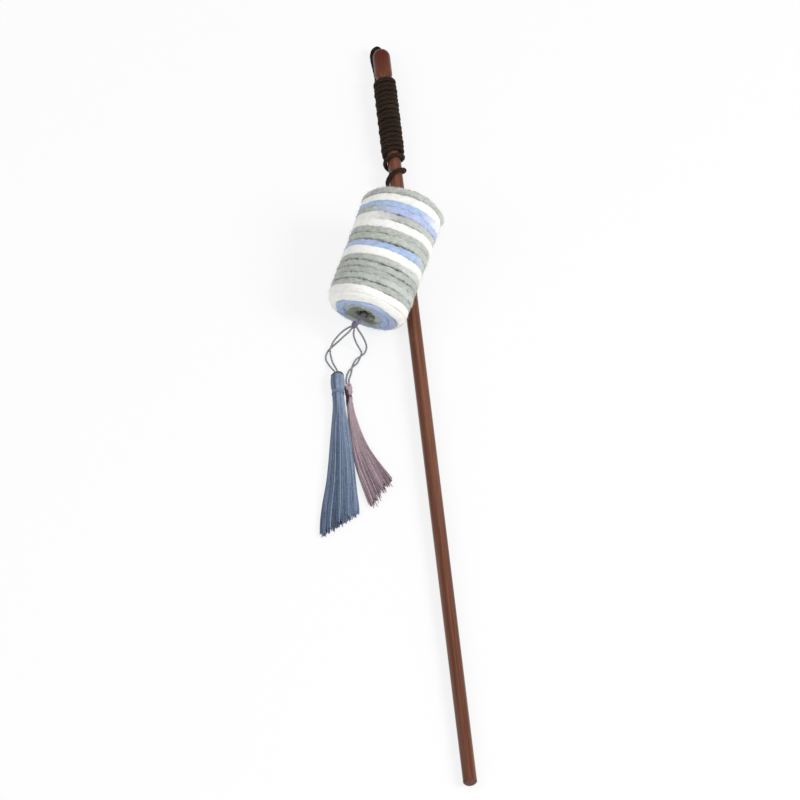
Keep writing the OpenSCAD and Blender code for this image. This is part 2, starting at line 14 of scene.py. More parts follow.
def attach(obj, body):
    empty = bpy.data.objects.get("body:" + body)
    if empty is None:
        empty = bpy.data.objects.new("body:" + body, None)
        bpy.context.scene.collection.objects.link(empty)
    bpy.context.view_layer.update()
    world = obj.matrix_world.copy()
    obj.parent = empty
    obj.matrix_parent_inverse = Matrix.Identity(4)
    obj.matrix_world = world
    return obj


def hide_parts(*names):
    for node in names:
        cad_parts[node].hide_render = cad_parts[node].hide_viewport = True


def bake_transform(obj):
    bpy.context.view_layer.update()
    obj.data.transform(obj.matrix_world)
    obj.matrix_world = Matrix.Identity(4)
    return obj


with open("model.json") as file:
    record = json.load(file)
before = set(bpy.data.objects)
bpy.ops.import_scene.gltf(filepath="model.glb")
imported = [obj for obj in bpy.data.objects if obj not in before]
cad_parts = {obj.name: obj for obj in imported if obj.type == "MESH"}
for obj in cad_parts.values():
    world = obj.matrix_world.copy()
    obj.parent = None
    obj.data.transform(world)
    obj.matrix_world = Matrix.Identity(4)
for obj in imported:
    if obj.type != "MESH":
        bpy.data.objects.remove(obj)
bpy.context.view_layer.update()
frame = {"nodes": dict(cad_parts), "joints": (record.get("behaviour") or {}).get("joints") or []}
joints = {joint["name"]: joint for joint in frame["joints"]}

# Numbers that the CAD source has too, angles in degrees
STICK_L, GRIP_D, SHAFT_END_D, TIP_L = 418.0, 6.5, 6.3, 18.0
CORD_D, CORD_FIT = 2.1, 0.1
TIGHT_TURNS, TIGHT_PITCH = 15.5, 2.65
LOOSE_TURNS, LOOSE_PITCH, LOOSE_SPREAD, FIRST_GAP = 2.5, 4.0, 1.1, 1.2
# Rise of the cord's end from the last turn, in shares of the winding's radius
RISE_SHARES = np.array([[0, -0.3, 0.45], [0, -0.49, 0.9]])
ROLL_D, ROLL_L, YARN_D, YARN_FIT = 38.0, 58.0, 3.3, 0.3
LOOSE_RISE, LOOSE_ANGLE = 1.8, 270
KNOT_H, KNOT_FIT = 3.0, 0.1
# Tassels: length, width, head's width, waist's width, binding's thickness and binding's width
BLUE_SIZES, MAUVE_SIZES = (85, 18.5, 6.4, 4.7, 0.8, 1.6), (64, 15, 3.2, 2.1, 0.5, 1.2)
BAND_FIT = 0.05

CORD_R = CORD_D / 2
WIND_R = SHAFT_END_D / 2 + CORD_FIT + CORD_R
FIRST_S = STICK_L - TIP_L - FIRST_GAP
LOOSE_S = FIRST_S - TIGHT_PITCH * TIGHT_TURNS
LAST_TURN = TIGHT_TURNS + LOOSE_TURNS
# The winding is thicker than the stick, so the stick lies tilted
TILT = np.arcsin((WIND_R + CORD_R - GRIP_D / 2) / (LOOSE_S - LOOSE_PITCH * LOOSE_TURNS))
AHEAD = np.array([0, np.cos(TILT), np.sin(TILT)])
UP = np.array([0, 0, 1.0])
TAU = 2 * np.pi


# Places and directions
def unit(v):
    v = np.asarray(v, float)
    return v / np.linalg.norm(v, axis=-1, keepdims=True)


def square(v, way):
    """The part of v that is square to a way, as a direction."""
    return unit(v - (v * way).sum(-1, keepdims=True) * way)


def round_way(angle, side, up):
    """Directions at angles in radians, from one direction towards another."""
    return np.cos(angle)[..., None] * side + np.sin(angle)[..., None] * up


def by_stick(across, along, up):
    """Points by their place across, along and above the tilted stick's middle line."""
    across, along, up = np.broadcast_arrays(*(np.asarray(x, float) for x in (across, along, up)))
    return np.stack([
        across,
        along * np.cos(TILT) - up * np.sin(TILT),
        GRIP_D / 2 + along * np.sin(TILT) + up * np.cos(TILT),
    ], -1)


def round_stick(angle, radius, along):
    """Points by their angle in degrees, distance from the stick's middle and place along it."""
    a = np.radians(np.asarray(angle, float))
    return by_stick(radius * np.cos(a), along, radius * np.sin(a))


def from_crown(points):
    """Points measured from the end of the stick's tip."""
    return np.asarray(points, float) + [0, STICK_L, 0]


# Lines
def length_along(line):
    return np.concatenate([[0], np.cumsum(np.linalg.norm(np.diff(line, axis=0), axis=1))])


def spaced(line, step):
    s = length_along(line)
    at = np.linspace(0, s[-1], max(3, int(round(s[-1] / step)) + 1))
    return np.stack([np.interp(at, s, line[:, k]) for k in range(3)], 1)


def spline(points, step):
    """A smooth line through the points, with points about step apart."""
    given = np.asarray(points, float)
    longer = np.vstack([2 * given[0] - given[1], given, 2 * given[-1] - given[-2]])
    t = np.linspace(0, 1, 16, endpoint=False)[:, None]
    parts = []
    for i in range(1, len(longer) - 2):
        a, b, c, d = longer[i - 1:i + 3]
        parts.append(0.5 * (2 * b + (c - a) * t + (2 * a - 5 * b + 4 * c - d) * t**2
                            + (3 * b - a - 3 * c + d) * t**3))
    return spaced(np.vstack(parts + [given[-1:]]), step)


def ways_of(line):
    return unit(np.gradient(line, axis=0))


def carried(ways, first):
    """A direction carried along a line without a twist, square to it all the way."""
    out, v = np.zeros_like(ways), np.asarray(first, float)
    for i, way in enumerate(ways):
        v = square(v, way)
        out[i] = v
    return out


# Meshes
def keep_above(points, least):
    """Moves points that lie lower than a least height up to it."""
    points[..., 2] = np.maximum(points[..., 2], least)


def tube(line, out, half_out, half_side, sides, relief=None):
    """Rings along a line, half_out high away from what it lies on and half_side wide."""
    way = ways_of(line)
    high = square(out, way)
    wide = np.cross(way, high)
    a = np.linspace(0, TAU, sides, endpoint=False)[None, :]
    r = np.ones((len(line), sides)) if relief is None else relief(length_along(line)[:, None], a)
    half_out = np.broadcast_to(np.asarray(half_out, float), (len(line),))[:, None]
    half_side = np.broadcast_to(np.asarray(half_side, float), (len(line),))[:, None]
    rings = (line[:, None] + (r * np.cos(a) * half_out)[..., None] * high[:, None]
             + (r * np.sin(a) * half_side)[..., None] * wide[:, None])
    return rings, a * np.ones((len(line), 1))


def skin(rings):
    """Vertices and faces of a closed tube, given as one array of rings."""
    count, sides = rings.shape[:2]
    i = np.arange(count - 1)[:, None] * sides
    j = np.arange(sides)[None, :]
    after = (j + 1) % sides
    quads = np.stack([i + j, i + after, i + sides + after, i + sides + j], -1).reshape(-1, 4)
    caps = [list(range(sides))[::-1], list(range((count - 1) * sides, count * sides))]
    return rings.reshape(-1, 3), quads, caps


def in_scene(name, data):
    made = bpy.data.objects.new(name, data)
    bpy.context.scene.collection.objects.link(made)
    return made


class Pile:
    """Several tubes that become one mesh, with numbers at their points."""

    def __init__(self):
        self.points, self.faces, self.numbers, self.count = [], [], {}, 0

    def add(self, rings, **numbers):
        points, quads, caps = skin(rings)
        self.faces += (quads + self.count).tolist()
        self.faces += [[x + self.count for x in cap] for cap in caps]
        self.points.append(points)
        self.count += len(points)
        for name, value in numbers.items():
            value = np.asarray(value, float)
            if value.ndim == 1:
                value = value[:, None]
            self.numbers.setdefault(name, []).append(np.broadcast_to(value, rings.shape[:2]).ravel())

    def thread(self, line, out, half_out, half_side, sides, shade, along=None):
        """Adds a tube with the numbers that a thread's material reads."""
        rings, around = tube(line, out, half_out, half_side, sides)
        along = length_along(line) if along is None else along
        self.add(rings, along=along, around=around, shade=shade)

    def piece(self, name, material, body, slot, stands_for=()):
        mesh = bpy.data.meshes.new(name)
        mesh.from_pydata(row(np.vstack(self.points)).tolist(), [], self.faces)
        mesh.polygons.foreach_set("use_smooth", np.ones(len(mesh.polygons), bool))
        for key, values in self.numbers.items():
            values = np.concatenate(values).astype(np.float32)
            mesh.attributes.new(key, "FLOAT", "POINT").data.foreach_set("value", values)
        mesh.materials.append(material)
        mesh.update()
        made = in_scene(name, mesh)
        if body:
            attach(made, body)
        if stands_for:
            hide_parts(*stands_for)
        return made


# Where the source's frame lies in the row frame
def turn_s(turn):
    """Place along the stick where the wound cord has made so many turns."""
    turn = np.asarray(turn, float)
    over = np.maximum(turn - TIGHT_TURNS, 0)
    return np.where(turn <= TIGHT_TURNS, FIRST_S - TIGHT_PITCH * turn,
                    LOOSE_S - LOOSE_PITCH * over - LOOSE_SPREAD * over**3)


def turn_point(turn, radius=WIND_R):
    return round_stick(360 * np.asarray(turn, float), radius, turn_s(turn))


wound_last = turn_point(LAST_TURN)
wound_end = wound_last + RISE_SHARES[1] * WIND_R + CORD_D * UP
SHIFT = np.array(joints["lead_swing"]["pos_m"]) * 1000 - wound_end


def row(points):
    """Points of the source's frame, in the row frame in metres."""
    return (np.asarray(points, float) + SHIFT) / 1000


# Camera: far off with a long lens, looking down. The lens gives 2.16 pixels a millimetre.
CAMERA_TURN, CAMERA_DOWN, CAMERA_FAR = np.radians(-5.66), np.radians(54), 15.0
LENS_A_METRE = 97.4
CLIP_NEAR, CLIP_FAR = 1, 60
PICTURE_MIDDLE = [-10.4, 221.1, 0]


def add_camera():
    right = np.array([np.cos(CAMERA_TURN), np.sin(CAMERA_TURN), 0])
    level = np.array([np.sin(CAMERA_TURN), -np.cos(CAMERA_TURN), 0])
    back = level * np.cos(CAMERA_DOWN) + UP * np.sin(CAMERA_DOWN)
    camera = in_scene("camera", bpy.data.cameras.new("camera"))
    camera.data.lens = LENS_A_METRE * CAMERA_FAR
    camera.data.clip_start, camera.data.clip_end = CLIP_NEAR, CLIP_FAR
    place = np.eye(4)
    place[:3, 0], place[:3, 1], place[:3, 2] = right, np.cross(back, right), back
    place[:3, 3] = row(PICTURE_MIDDLE) + back * CAMERA_FAR
    camera.matrix_world = Matrix(place.tolist())
    bpy.context.scene.camera = camera


add_camera()


# Materials. Colours are red, green and blue out of 255.
def linear(rgb):
    c = np.asarray(rgb, float) / 255
    return tuple(np.where(c <= 0.04045, c / 12.92, ((c + 0.055) / 1.055) ** 2.4)) + (1.0,)


def grey(value):
    return (value, value, value, 1)


class Nodes:
    """A short way to write a node material."""

    def __init__(self, name, **sockets):
        self.material = bpy.data.materials.new(name)
        self.material.use_nodes = True
        self.tree = self.material.node_tree
        self.shader = self.tree.nodes["Principled BSDF"]
        for key, value in sockets.items():
            self.shader.inputs[key.replace("_", " ")].default_value = value

    def node(self, kind, inputs=None, **settings):
        made = self.tree.nodes.new("ShaderNode" + kind)
        for key, value in settings.items():
            setattr(made, key, value)
        for key, value in (inputs or {}).items():
            self.put(value, made.inputs[key])
        return made

    def put(self, value, socket):
        if isinstance(value, bpy.types.Node):
            value = value.outputs[0]
        if isinstance(value, bpy.types.NodeSocket):
            self.tree.links.new(value, socket)
        else:
            socket.default_value = value

    def attribute(self, name, output="Fac"):
        return self.node("Attribute", attribute_name=name).outputs[output]

    def math(self, operation, a, b=0.0, c=0.0):
        return self.node("Math", {0: a, 1: b, 2: c}, operation=operation)

    def times_plus(self, a, b, c):
        return self.math("MULTIPLY_ADD", a, b, c)

    def mix(self, share, a, b, blend="MIX"):
        made = self.node("Mix", data_type="RGBA", blend_type=blend)
        for key, value in ((0, share), (6, a), (7, b)):
            self.put(value, made.inputs[key])
        return made.outputs[2]

    def ramp(self, value, *stops):
        made = self.node("ValToRGB", {0: value})
        elements = made.color_ramp.elements
        while len(elements) < len(stops):
            elements.new(0.5)
        for element, (place, colour) in zip(elements, stops):
            element.position, element.color = place, colour
        return made.outputs[0]

    def shades(self, value, places, colours):
        """A ramp through colours out of 255."""
        return self.ramp(value, *((place, linear(c)) for place, c in zip(places, colours)))

    def place(self, scale):
        where = self.node("TexCoord").outputs["Object"]
        return self.node("Mapping", {0: where, 3: scale}).outputs[0]

    def noise(self, scale, vector=None, detail=3.0, roughness=0.5, distortion=0.0):
        vector = vector if vector is not None else self.place((1, 1, 1))
        return self.node("TexNoise", {"Vector": vector, "Scale": scale, "Detail": detail,
                                      "Roughness": roughness, "Distortion": distortion}).outputs[0]

    def bump(self, height, distance, strength=0.5):
        made = self.node("Bump", {"Height": height, "Distance": distance, "Strength": strength})
        self.put(made, self.shader.inputs["Normal"])

    def colour(self, value):
        self.put(value, self.shader.inputs["Base Color"])


TIP_Y = row([0, STICK_L, 0])[1]
TIP_FADE = 0.022
WOOD_PLACES = (0.3, 0.5, 0.7)
SHAFT_COLOURS = ((66, 34, 22), (104, 62, 46), (136, 90, 70))
TIP_COLOURS = ((62, 12, 2), (80, 18, 4), (98, 29, 9))


def wood():
    """Varnished wood with a grain along the stick, redder and smoother at its tip."""
    m = Nodes("varnished_wood", Roughness=0.42, Coat_Weight=0.16, Coat_Roughness=0.1,
              Specular_IOR_Level=0.12)
    grain = m.noise(1.0, m.place((900, 9, 900)), 5, 0.62, 0.4)
    bands = m.noise(1.0, m.place((260, 3, 260)), 3, 0.5, 1.2)
    pores = m.noise(1.0, m.place((3200, 60, 3200)), 2, 0.5)
    x = m.times_plus(bands, 0.55, m.math("MULTIPLY", grain, 0.45))
    shaft = m.shades(x, WOOD_PLACES, SHAFT_COLOURS)
    along = m.node("SeparateXYZ", {0: m.node("TexCoord").outputs["Object"]}).outputs[1]
    near_tip = m.node("MapRange", {0: along, 1: TIP_Y - TIP_FADE, 2: TIP_Y, 3: 0.0, 4: 1.0})
    tip = m.shades(m.times_plus(x, 0.28, 0.355), WOOD_PLACES, TIP_COLOURS)
    dark = m.ramp(pores, (0.36, (0.45, 0.4, 0.38, 1)), (0.46, grey(1)))
    few = m.times_plus(near_tip, -0.42, 0.5)
    m.colour(m.mix(few, m.mix(near_tip, shaft, tip), dark, "MULTIPLY"))
    m.put(m.times_plus(grain, 0.2, 0.24), m.shader.inputs["Roughness"])
    m.bump(m.times_plus(pores, 0.6, m.math("MULTIPLY", grain, 0.4)), 0.00005)
    return m.material


def cord_material():
    """Dark waxed braid with painted shade in the hollows between its strands, and worn in patches."""
    m = Nodes("dark_cord", Roughness=0.75, Specular_IOR_Level=0.18)
    soft = m.noise(5200, detail=2)
    patch = m.noise(160, detail=2)
    # Painted shade: the braid's relief darkens the hollows between its strands and lightens their tops
    x = m.times_plus(soft, 0.35, m.math("MULTIPLY", m.attribute("relief"), 0.4))
    x = m.times_plus(patch, 0.35, x)
    m.colour(m.shades(x, (0.2, 0.6, 0.9), ((15, 8, 5), (36, 23, 15), (72, 53, 38))))
    m.bump(soft, 0.00004, 0.6)
    return m.material


def thread_material(name, colours, sheen=0.15, rough=0.75):
    """Twisted thread: fine streaks, a shade of its own for each thread, and painted shade in the grooves
    between its plies.
    """
    m = Nodes(name, Roughness=rough, Sheen_Weight=sheen, Sheen_Roughness=0.4)
    streak = m.noise(900, detail=4, roughness=0.75)
    ply_bump_and_shade = m.math("SINE", m.times_plus(m.attribute("along"), 5.2, m.attribute("around")))
    x = m.times_plus(streak, 0.5, m.times_plus(m.attribute("shade"), 0.6, -0.05))
    colour = m.shades(x, (0.12, 0.5, 0.88), colours)
    # Painted shade: the plies' sine darkens the grooves between them
    m.colour(m.mix(0.14, colour, m.ramp(ply_bump_and_shade, (0.3, grey(0.55)), (0.7, grey(1))), "MULTIPLY"))
    m.bump(ply_bump_and_shade, 0.00003)
    return m.material


def yarn_material():
    """Soft wool in the colours at its points, uneven along the strand, with painted shade in specks at
    the seams between its turns.
    """
    m = Nodes("striped_yarn", Roughness=0.92, Sheen_Weight=0.3, Sheen_Roughness=0.6,
              Specular_IOR_Level=0.2)
    lay = m.node("CombineXYZ", {0: m.attribute("lay_x"), 1: m.attribute("lay_y"),
                                2: m.attribute("lay_z")})
    drawn = m.noise(1.5, lay.outputs[0], 4, 0.6)
    fibre = m.noise(4200, detail=3, roughness=0.6)
    soft = m.noise(300, detail=2)
    swing = m.times_plus(m.attribute("coarse"), 0.6, 0.3)
    shade = m.times_plus(m.math("SUBTRACT", drawn, 0.5), swing, 0.85)
    shade = m.times_plus(fibre, 0.1, m.times_plus(soft, 0.2, shade))
    shading = m.node("CombineXYZ", {0: shade, 1: shade, 2: shade})
    colour = m.mix(1.0, m.attribute("tint", "Color"), shading.outputs[0], "MULTIPLY")
    # Painted shade: dark specks in the seams where neighbouring turns meet
    spots = m.noise(1.1, m.place((620, 620, 620)), 3, 0.7)
    gap_shade_specks = m.ramp(spots, (0.47, grey(0)), (0.57, grey(1)))
    much = m.math("MULTIPLY", m.math("MULTIPLY", m.attribute("seam"), gap_shade_specks), 0.75)
    m.colour(m.mix(much, colour, linear((92, 99, 86))))
    m.bump(m.times_plus(fibre, 0.5, m.math("MULTIPLY", drawn, 0.9)), 0.00016)
    return m.material


def card():
    """Plain card with its fibres."""
    m = Nodes("core_card", Roughness=0.9)
    fibre = m.noise(1800, detail=4, roughness=0.65)
    m.colour(m.shades(fibre, (0.3, 0.7), ((96, 84, 70), (150, 132, 108))))
    m.bump(fibre, 0.00006)
    return m.material


CORD, YARN = cord_material(), yarn_material()
LOOP = thread_material("loop_thread", ((98, 100, 104), (146, 149, 153), (186, 189, 191)))
KNOT = thread_material("knot_thread", ((44, 46, 52), (78, 80, 86), (112, 114, 120)))
NECK = thread_material("neck_thread", ((86, 80, 96), (128, 122, 142), (166, 160, 178)))
BLUE = thread_material("blue_thread", ((56, 72, 98), (114, 132, 160), (178, 193, 212)), 0.25, 0.55)
MAUVE = thread_material("mauve_thread", ((106, 80, 94), (178, 156, 164), (216, 199, 204)), 0.25, 0.55)
BAND = thread_material("binding_thread", ((40, 26, 40), (66, 48, 66), (96, 76, 92)), 0.2, 0.6)


def paint(nodes, material):
    """Gives CAD nodes that stay in sight a material."""
    for node in nodes:
        frame["nodes"][node].data.materials.clear()
        frame["nodes"][node].data.materials.append(material)


paint(["core_tube", "core_disc_near", "core_disc_far"], card())
paint(["stick"], wood())

# The dark cord over the tip and round the stick
BRAID_STRANDS, BRAID_LAY, BRAID_DEPTH = 4, 2.6, 0.085
CORD_SIDES, CORD_STEP = 20, 0.2
CROWN_ANGLE, FIRST_TURN, RINGS_A_TURN = 220, -0.3, 60
# Angle round the stick in degrees, distance from its middle and distance below the end of the tip
RUN = [[190, 0, 7], [190, 0, 4], [190, 0, 1.2], [190, 0.4, -0.5], [190, 1.4, -1.6],
       [191, 2.9, -1.5], [193, 4.2, -0.4], [197, 5, 1.4], [203, 5.3, 4.2], [212, 5.3, 8],
       [218, 5.3, 12], [219, 5.3, 14.6], [219, 5.2, 16.2], [220.5, 5.05, 17.3]]
RUN_R, RUN_SWING, RUN_SINK = 5.3, 14, 0.12
LEAST_HEIGHT = 0.02


def braid(s, a):
    """Relief of a braided cord: strands of two hands that pass over and under."""
    left = np.cos(BRAID_STRANDS * a + TAU * s / BRAID_LAY)
    other = np.cos(BRAID_STRANDS * a - TAU * s / BRAID_LAY)
    over = np.cos(BRAID_STRANDS * a) * np.cos(TAU * s / BRAID_LAY)
    h = np.maximum(left * (0.62 + 0.38 * over), other * (0.62 - 0.38 * over))
    return 1 - BRAID_DEPTH + BRAID_DEPTH * h


def braid_share(s, a):
    """The braid's relief, from nothing in its hollows to one on its strands, which the cord's material
    turns into painted shade.
    """
    return (braid(s, a) - 1 + 2 * BRAID_DEPTH) / (2 * BRAID_DEPTH)


def wound_route():
    """The turns round the stick, each a little uneven in its place and height."""
    turns = np.linspace(FIRST_TURN, LAST_TURN, int((LAST_TURN - FIRST_TURN) * RINGS_A_TURN))
    tight = np.clip(TIGHT_TURNS - turns, 0, 1) * np.clip(turns, 0, 1)
    wobble = (0.09 * np.sin(2.3 * turns + 1) + 0.06 * np.sin(5.1 * turns)) * tight
    proud = (0.1 + 0.14 * np.sin(np.pi * turns + 0.8 * np.sin(0.9 * turns))) * tight
    return turn_point(turns, WIND_R + proud) + wobble[:, None] * AHEAD


def cord_out(line, s):
    """Which way the cord's outer side faces: over the tip, round the stick, then at its end."""
    stick_middle = by_stick(0, (line - by_stick(0, 0, 0)) @ AHEAD, 0)
    crown = round_stick(CROWN_ANGLE, 1, 0) - by_stick(0, 0, 0)
    ways = ways_of(line)
    over_tip = (ways @ crown)[:, None] * AHEAD - (ways @ AHEAD)[:, None] * crown
    wound_share = np.clip((s - 18) / 6, 0, 1)[:, None]
    out = over_tip * (1 - wound_share) + unit(line - stick_middle + 1e-9) * wound_share
    last_share = np.clip((s - (s[-1] - 6)) / 4, 0, 1)[:, None]
    return out * (1 - last_share) + np.array([1.0, 0, 0]) * last_share


def add_wound_cord():
    run = np.array([round_stick(angle + RUN_SWING * min(1, r / RUN_R), r - RUN_SINK * r / RUN_R,
                                STICK_L - below) for angle, r, below in RUN])
    wound = wound_route()
    straight = wound[:1] - unit(wound[1] - wound[0]) * (CORD_D + CORD_FIT)
    rise = wound_last + RISE_SHARES * WIND_R
    line = spaced(np.vstack([
        spline(np.vstack([run, straight, wound[:1]]), 0.3)[:-1],
        wound[:-1],
        spline(np.vstack([wound[-1:], rise, wound_end]), 0.3),
    ]), CORD_STEP)
    s = length_along(line)
    # The cord is wider along the stick in the tight turns, so that they touch, and slim over the tip
    tight = np.clip((s - 24) / 6, 0, 1) * np.clip((s[-1] - 60 - s) / 10, 0, 1)
    slim = np.interp(s, [0, 16, 22], [0.9, 0.9, 1])
    half_side = CORD_R * (1 + 0.17 * tight) * slim
    rings, around = tube(line, cord_out(line, s), CORD_R * slim, half_side, CORD_SIDES, braid)
    keep_above(rings, LEAST_HEIGHT)
    pile = Pile()
    # The braid's relief at each point, for the cord's painted shade
    pile.add(rings, relief=braid_share(s[:, None], around))
    cord = pile.piece("wound_cord", CORD, "wand", "dark_cord", ("tip_cord_run", "cord_winding"))


add_wound_cord()

# Where the roll lies
roll_far = np.array(joints["roll_spin"]["pos_m"]) * 1000 - SHIFT
roll_up = unit(joints["roll_spin"]["axis"])
roll_near = roll_far + roll_up * ROLL_L
roll_mid = (roll_far + roll_near) / 2
roll_left = unit(np.cross(UP, roll_up))
roll_down = np.cross(roll_left, roll_up)
CORE_HALF = ROLL_L / 2 - YARN_D - YARN_FIT


def in_roll(points):
    """Points by their place down, left and along in the roll, from its middle."""
    return roll_mid + points @ np.stack([roll_down, roll_left, roll_up])


# The lead from the winding into the roll, and its knot under the roll
LEAD_TURN = from_crown([3.9, -94.9, 20.8])
# The knot's size, how far its round is squeezed, and the radius of its cord
KNOT_SIZE, KNOT_SQUEEZE, KNOT_CORD_R = 0.62, 0.55, 0.86


def add_knot():
    """The cord's end tied tight, as a round of three crossings."""
    a = np.linspace(0, TAU, 140, endpoint=False)
    knot = KNOT_SIZE * np.stack([(np.sin(a) + 2 * np.sin(2 * a)) * KNOT_SQUEEZE,
                                 (np.cos(a) - 2 * np.cos(2 * a)) * KNOT_SQUEEZE,
                                 -np.sin(3 * a)], 1)
    line = in_roll(np.vstack([knot, knot[:1]]) - (CORE_HALF + KNOT_FIT + KNOT_H / 2) * UP)
    rings, _ = tube(line, carried(ways_of(line), roll_up), KNOT_CORD_R, KNOT_CORD_R, 12)
    pile = Pile()
    # An even relief, so the knot gets an even painted shade
    pile.add(rings, relief=0.4)
    return pile.piece("lead_knot", CORD, "hanger", "dark_cord", ("end_knot",))


def add_lead():
    line = spline(np.vstack([
        wound_end, wound_end + CORD_D * UP,
        from_crown([[4.3, -90.7, 15.6], [4.2, -92.5, 18.2]]), LEAD_TURN,
        from_crown([[3.5, -97.2, 23.6], [3.2, -99.6, 26.4], [2.9, -102.4, 29.1]]),
        roll_near + roll_up * CORD_D, roll_near, roll_mid + roll_up * CORE_HALF,
        roll_mid, roll_mid - roll_up * (CORE_HALF + KNOT_FIT),
    ]), 0.25)
    s = length_along(line)
    rings, around = tube(line, carried(ways_of(line), [1, 0, 0]), CORD_R, CORD_R, CORD_SIDES, braid)
    pile = Pile()
    # The braid's relief at each point, for the cord's painted shade
    pile.add(rings, relief=braid_share(s[:, None], around))
    lead = pile.piece("lead_cord", CORD, None, "dark_cord", ("lead_upper", "lead_lower"))
    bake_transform(lead)
    add_knot()


add_lead()

# The thread neck and the two looped threads
NECK_R, NECK_PLY_SHARE, NECK_LAY = 1.1, 0.5, 5.0
WRAP_TURNS, WRAP_L, WRAP_OUT, WRAP_R = 3.2, 1.7, 1.18, 0.3
THREAD_R, THREAD_PLY_SHARE, THREAD_LAY = 0.5, 0.58, 2.6
# Which way the neck leans in the hole of the roll's far face, in roll_down and roll_left
HOLE_WAY = np.array([0.63, 0.78])
LOOP_START = from_crown([-28.4, -161.1, 12])
BLUE_LOOP = [
    [-29.9, -161.1, 11.3], [-31.8, -160.9, 9.6], [-33.9, -161, 7.4], [-35.9, -161.6, 5.2],
    [-37.7, -162.6, 3.2], [-38.9, -164.1, 2], [-39.8, -166.3, 1.7], [-39.9, -168.6, 1.3],
    [-39.7, -171.1, 1.3], [-39.3, -174.1, 1.8], [-38.5, -177.2, 2.7], [-37.8, -180, 3.2],
    [-37.4, -182.2, 3.2], [-37.4, -184.4, 3.2], [-38, -185.2, 3.2], [-38.6, -184.4, 3.2],
    [-38.7, -182.4, 3.2], [-39.1, -180, 3], [-40.2, -177.2, 2.1], [-41.3, -174.2, 1.1],
    [-42.2, -171.4, 0.7], [-42, -168.8, 0.6], [-40.8, -166.3, 0.6], [-38.8, -164.2, 0.6],
    [-36.8, -162.9, 1.4], [-34.8, -162.5, 3.6], [-32.9, -162.4, 6.2], [-31.1, -162.4, 8.6],
    [-29.5, -162.3, 11.2]
]
MAUVE_LOOP = [
    [-27.1, -161.6, 11], [-26.2, -161.9, 9], [-25.1, -162.4, 6.6], [-24, -163.2, 4.2],
    [-23.1, -164.8, 2.2], [-23, -166.9, 1.3], [-24.2, -169.6, 1.3], [-26.1, -171.5, 1.7],
    [-28.2, -172.8, 1.6], [-29.7, -174.6, 1], [-30.7, -176.9, 0.6], [-31.2, -179.3, 0.7],
    [-31.9, -181.6, 1.1], [-32.8, -184.2, 1.5], [-33, -186.8, 1.6], [-33.1, -188.6, 1.6],
    [-33.6, -189.2, 1.6], [-34.1, -188.6, 1.6], [-34.2, -186.6, 1.6], [-34.1, -184.4, 1.4],
    [-33.8, -182.6, 1.2], [-33.3, -180.9, 1.2], [-32.1, -178.9, 1.6], [-30.3, -177.2, 1.7],
    [-28.6, -175.5, 1.3], [-27.4, -173.5, 0.7], [-26.4, -171.3, 0.6], [-25.5, -169, 1],
    [-26.4, -166.9, 1.9], [-27.5, -165.5, 3.8], [-28.3, -164.4, 6.2], [-28.7, -163.5, 8.6],
    [-28.3, -162.5, 11]
]


def twisted(line, radius, plies, lay, sides, ply_share, seed):
    """Plies twisted round a line, each a tube of its own with a shade of its own."""
    ways = ways_of(line)
    first = UP if abs(ways[0] @ UP) < 0.95 else (1, 0, 0)
    side = carried(ways, first)
    s = length_along(line)
    ply_r = radius * ply_share
    draws = np.random.default_rng(seed)
    pile = Pile()
    for k in range(plies):
        a = TAU * (s / lay + k / plies)
        middle = line + (radius - ply_r) * round_way(a, side, np.cross(ways, side))
        pile.thread(middle, side, ply_r, ply_r, sides, 0.5 + 0.22 * (draws.random() - 0.5), along=s)
    return pile


def add_neck():
    knot_end = roll_mid - roll_up * (CORE_HALF + KNOT_FIT + KNOT_H)
    aside = 0.6 * (HOLE_WAY[0] * roll_down + HOLE_WAY[1] * roll_left)
    line = spline(np.vstack([
        knot_end + roll_up * 0.8, roll_far - roll_up * 0.6 + aside, roll_far - roll_up * 2.0 + aside,
        from_crown([[-25.5, -161.8, 16], [-26.9, -162, 14.9], [-28, -161.7, 13.5]]), LOOP_START,
    ]), 0.25)
    pile = twisted(line, NECK_R, 4, NECK_LAY, 10, NECK_PLY_SHARE, seed=1)
    neck = pile.piece("neck_threads", NECK, "hanger", "neck_thread", ("thread_neck",))
    add_neck_wraps(line[-8], ways_of(line)[-8])
    return neck


def add_neck_wraps(at, way):
    """A few turns of thread round the neck's lower end."""
    share = np.linspace(0, 1, 110)
    side = unit(np.cross(way, [0.3, 1, 0.2]))
    out = round_way(TAU * WRAP_TURNS * share, side, np.cross(side, way))
    line = at + way * ((share - 0.6) * WRAP_L)[:, None] + out * WRAP_OUT
    pile = Pile()
    pile.thread(line, out, WRAP_R, WRAP_R, 10, shade=0.35)
    pile.piece("neck_wraps", NECK, "hanger", "neck_thread")


def add_loop(body, points, seed):
    ends = LOOP_START + [-0.2, -0.2, -0.3]
    line = spline(np.vstack([ends, from_crown(points), ends]), 0.22)
    pile = twisted(line, THREAD_R, 2, THREAD_LAY, 8, THREAD_PLY_SHARE, seed)
    loop = pile.piece(body + "_loop_thread", LOOP, body, "loop_thread", (body + "_loop",))


neck_piece = add_neck()
add_loop("blue", BLUE_LOOP, seed=2)
add_loop("mauve", MAUVE_LOOP, seed=3)

# The striped yarn: the way that it takes over the far face, the side and the near face
RIM, START_R = 4.0, 3.85
PATH_R, PATH_H = ROLL_D / 2 - YARN_D / 2, ROLL_L / 2 - YARN_D / 2
FACE_L, BEND_L, SIDE_L = PATH_R - RIM - START_R, RIM * np.pi / 2, 2 * (PATH_H - RIM)
YARN_L = 2 * FACE_L + 2 * BEND_L + SIDE_L
# The roll's side seen in the photo, in degrees, and how far the turns lean there to the near end
SEEN_ANGLE, LEAN = 200, 1.6
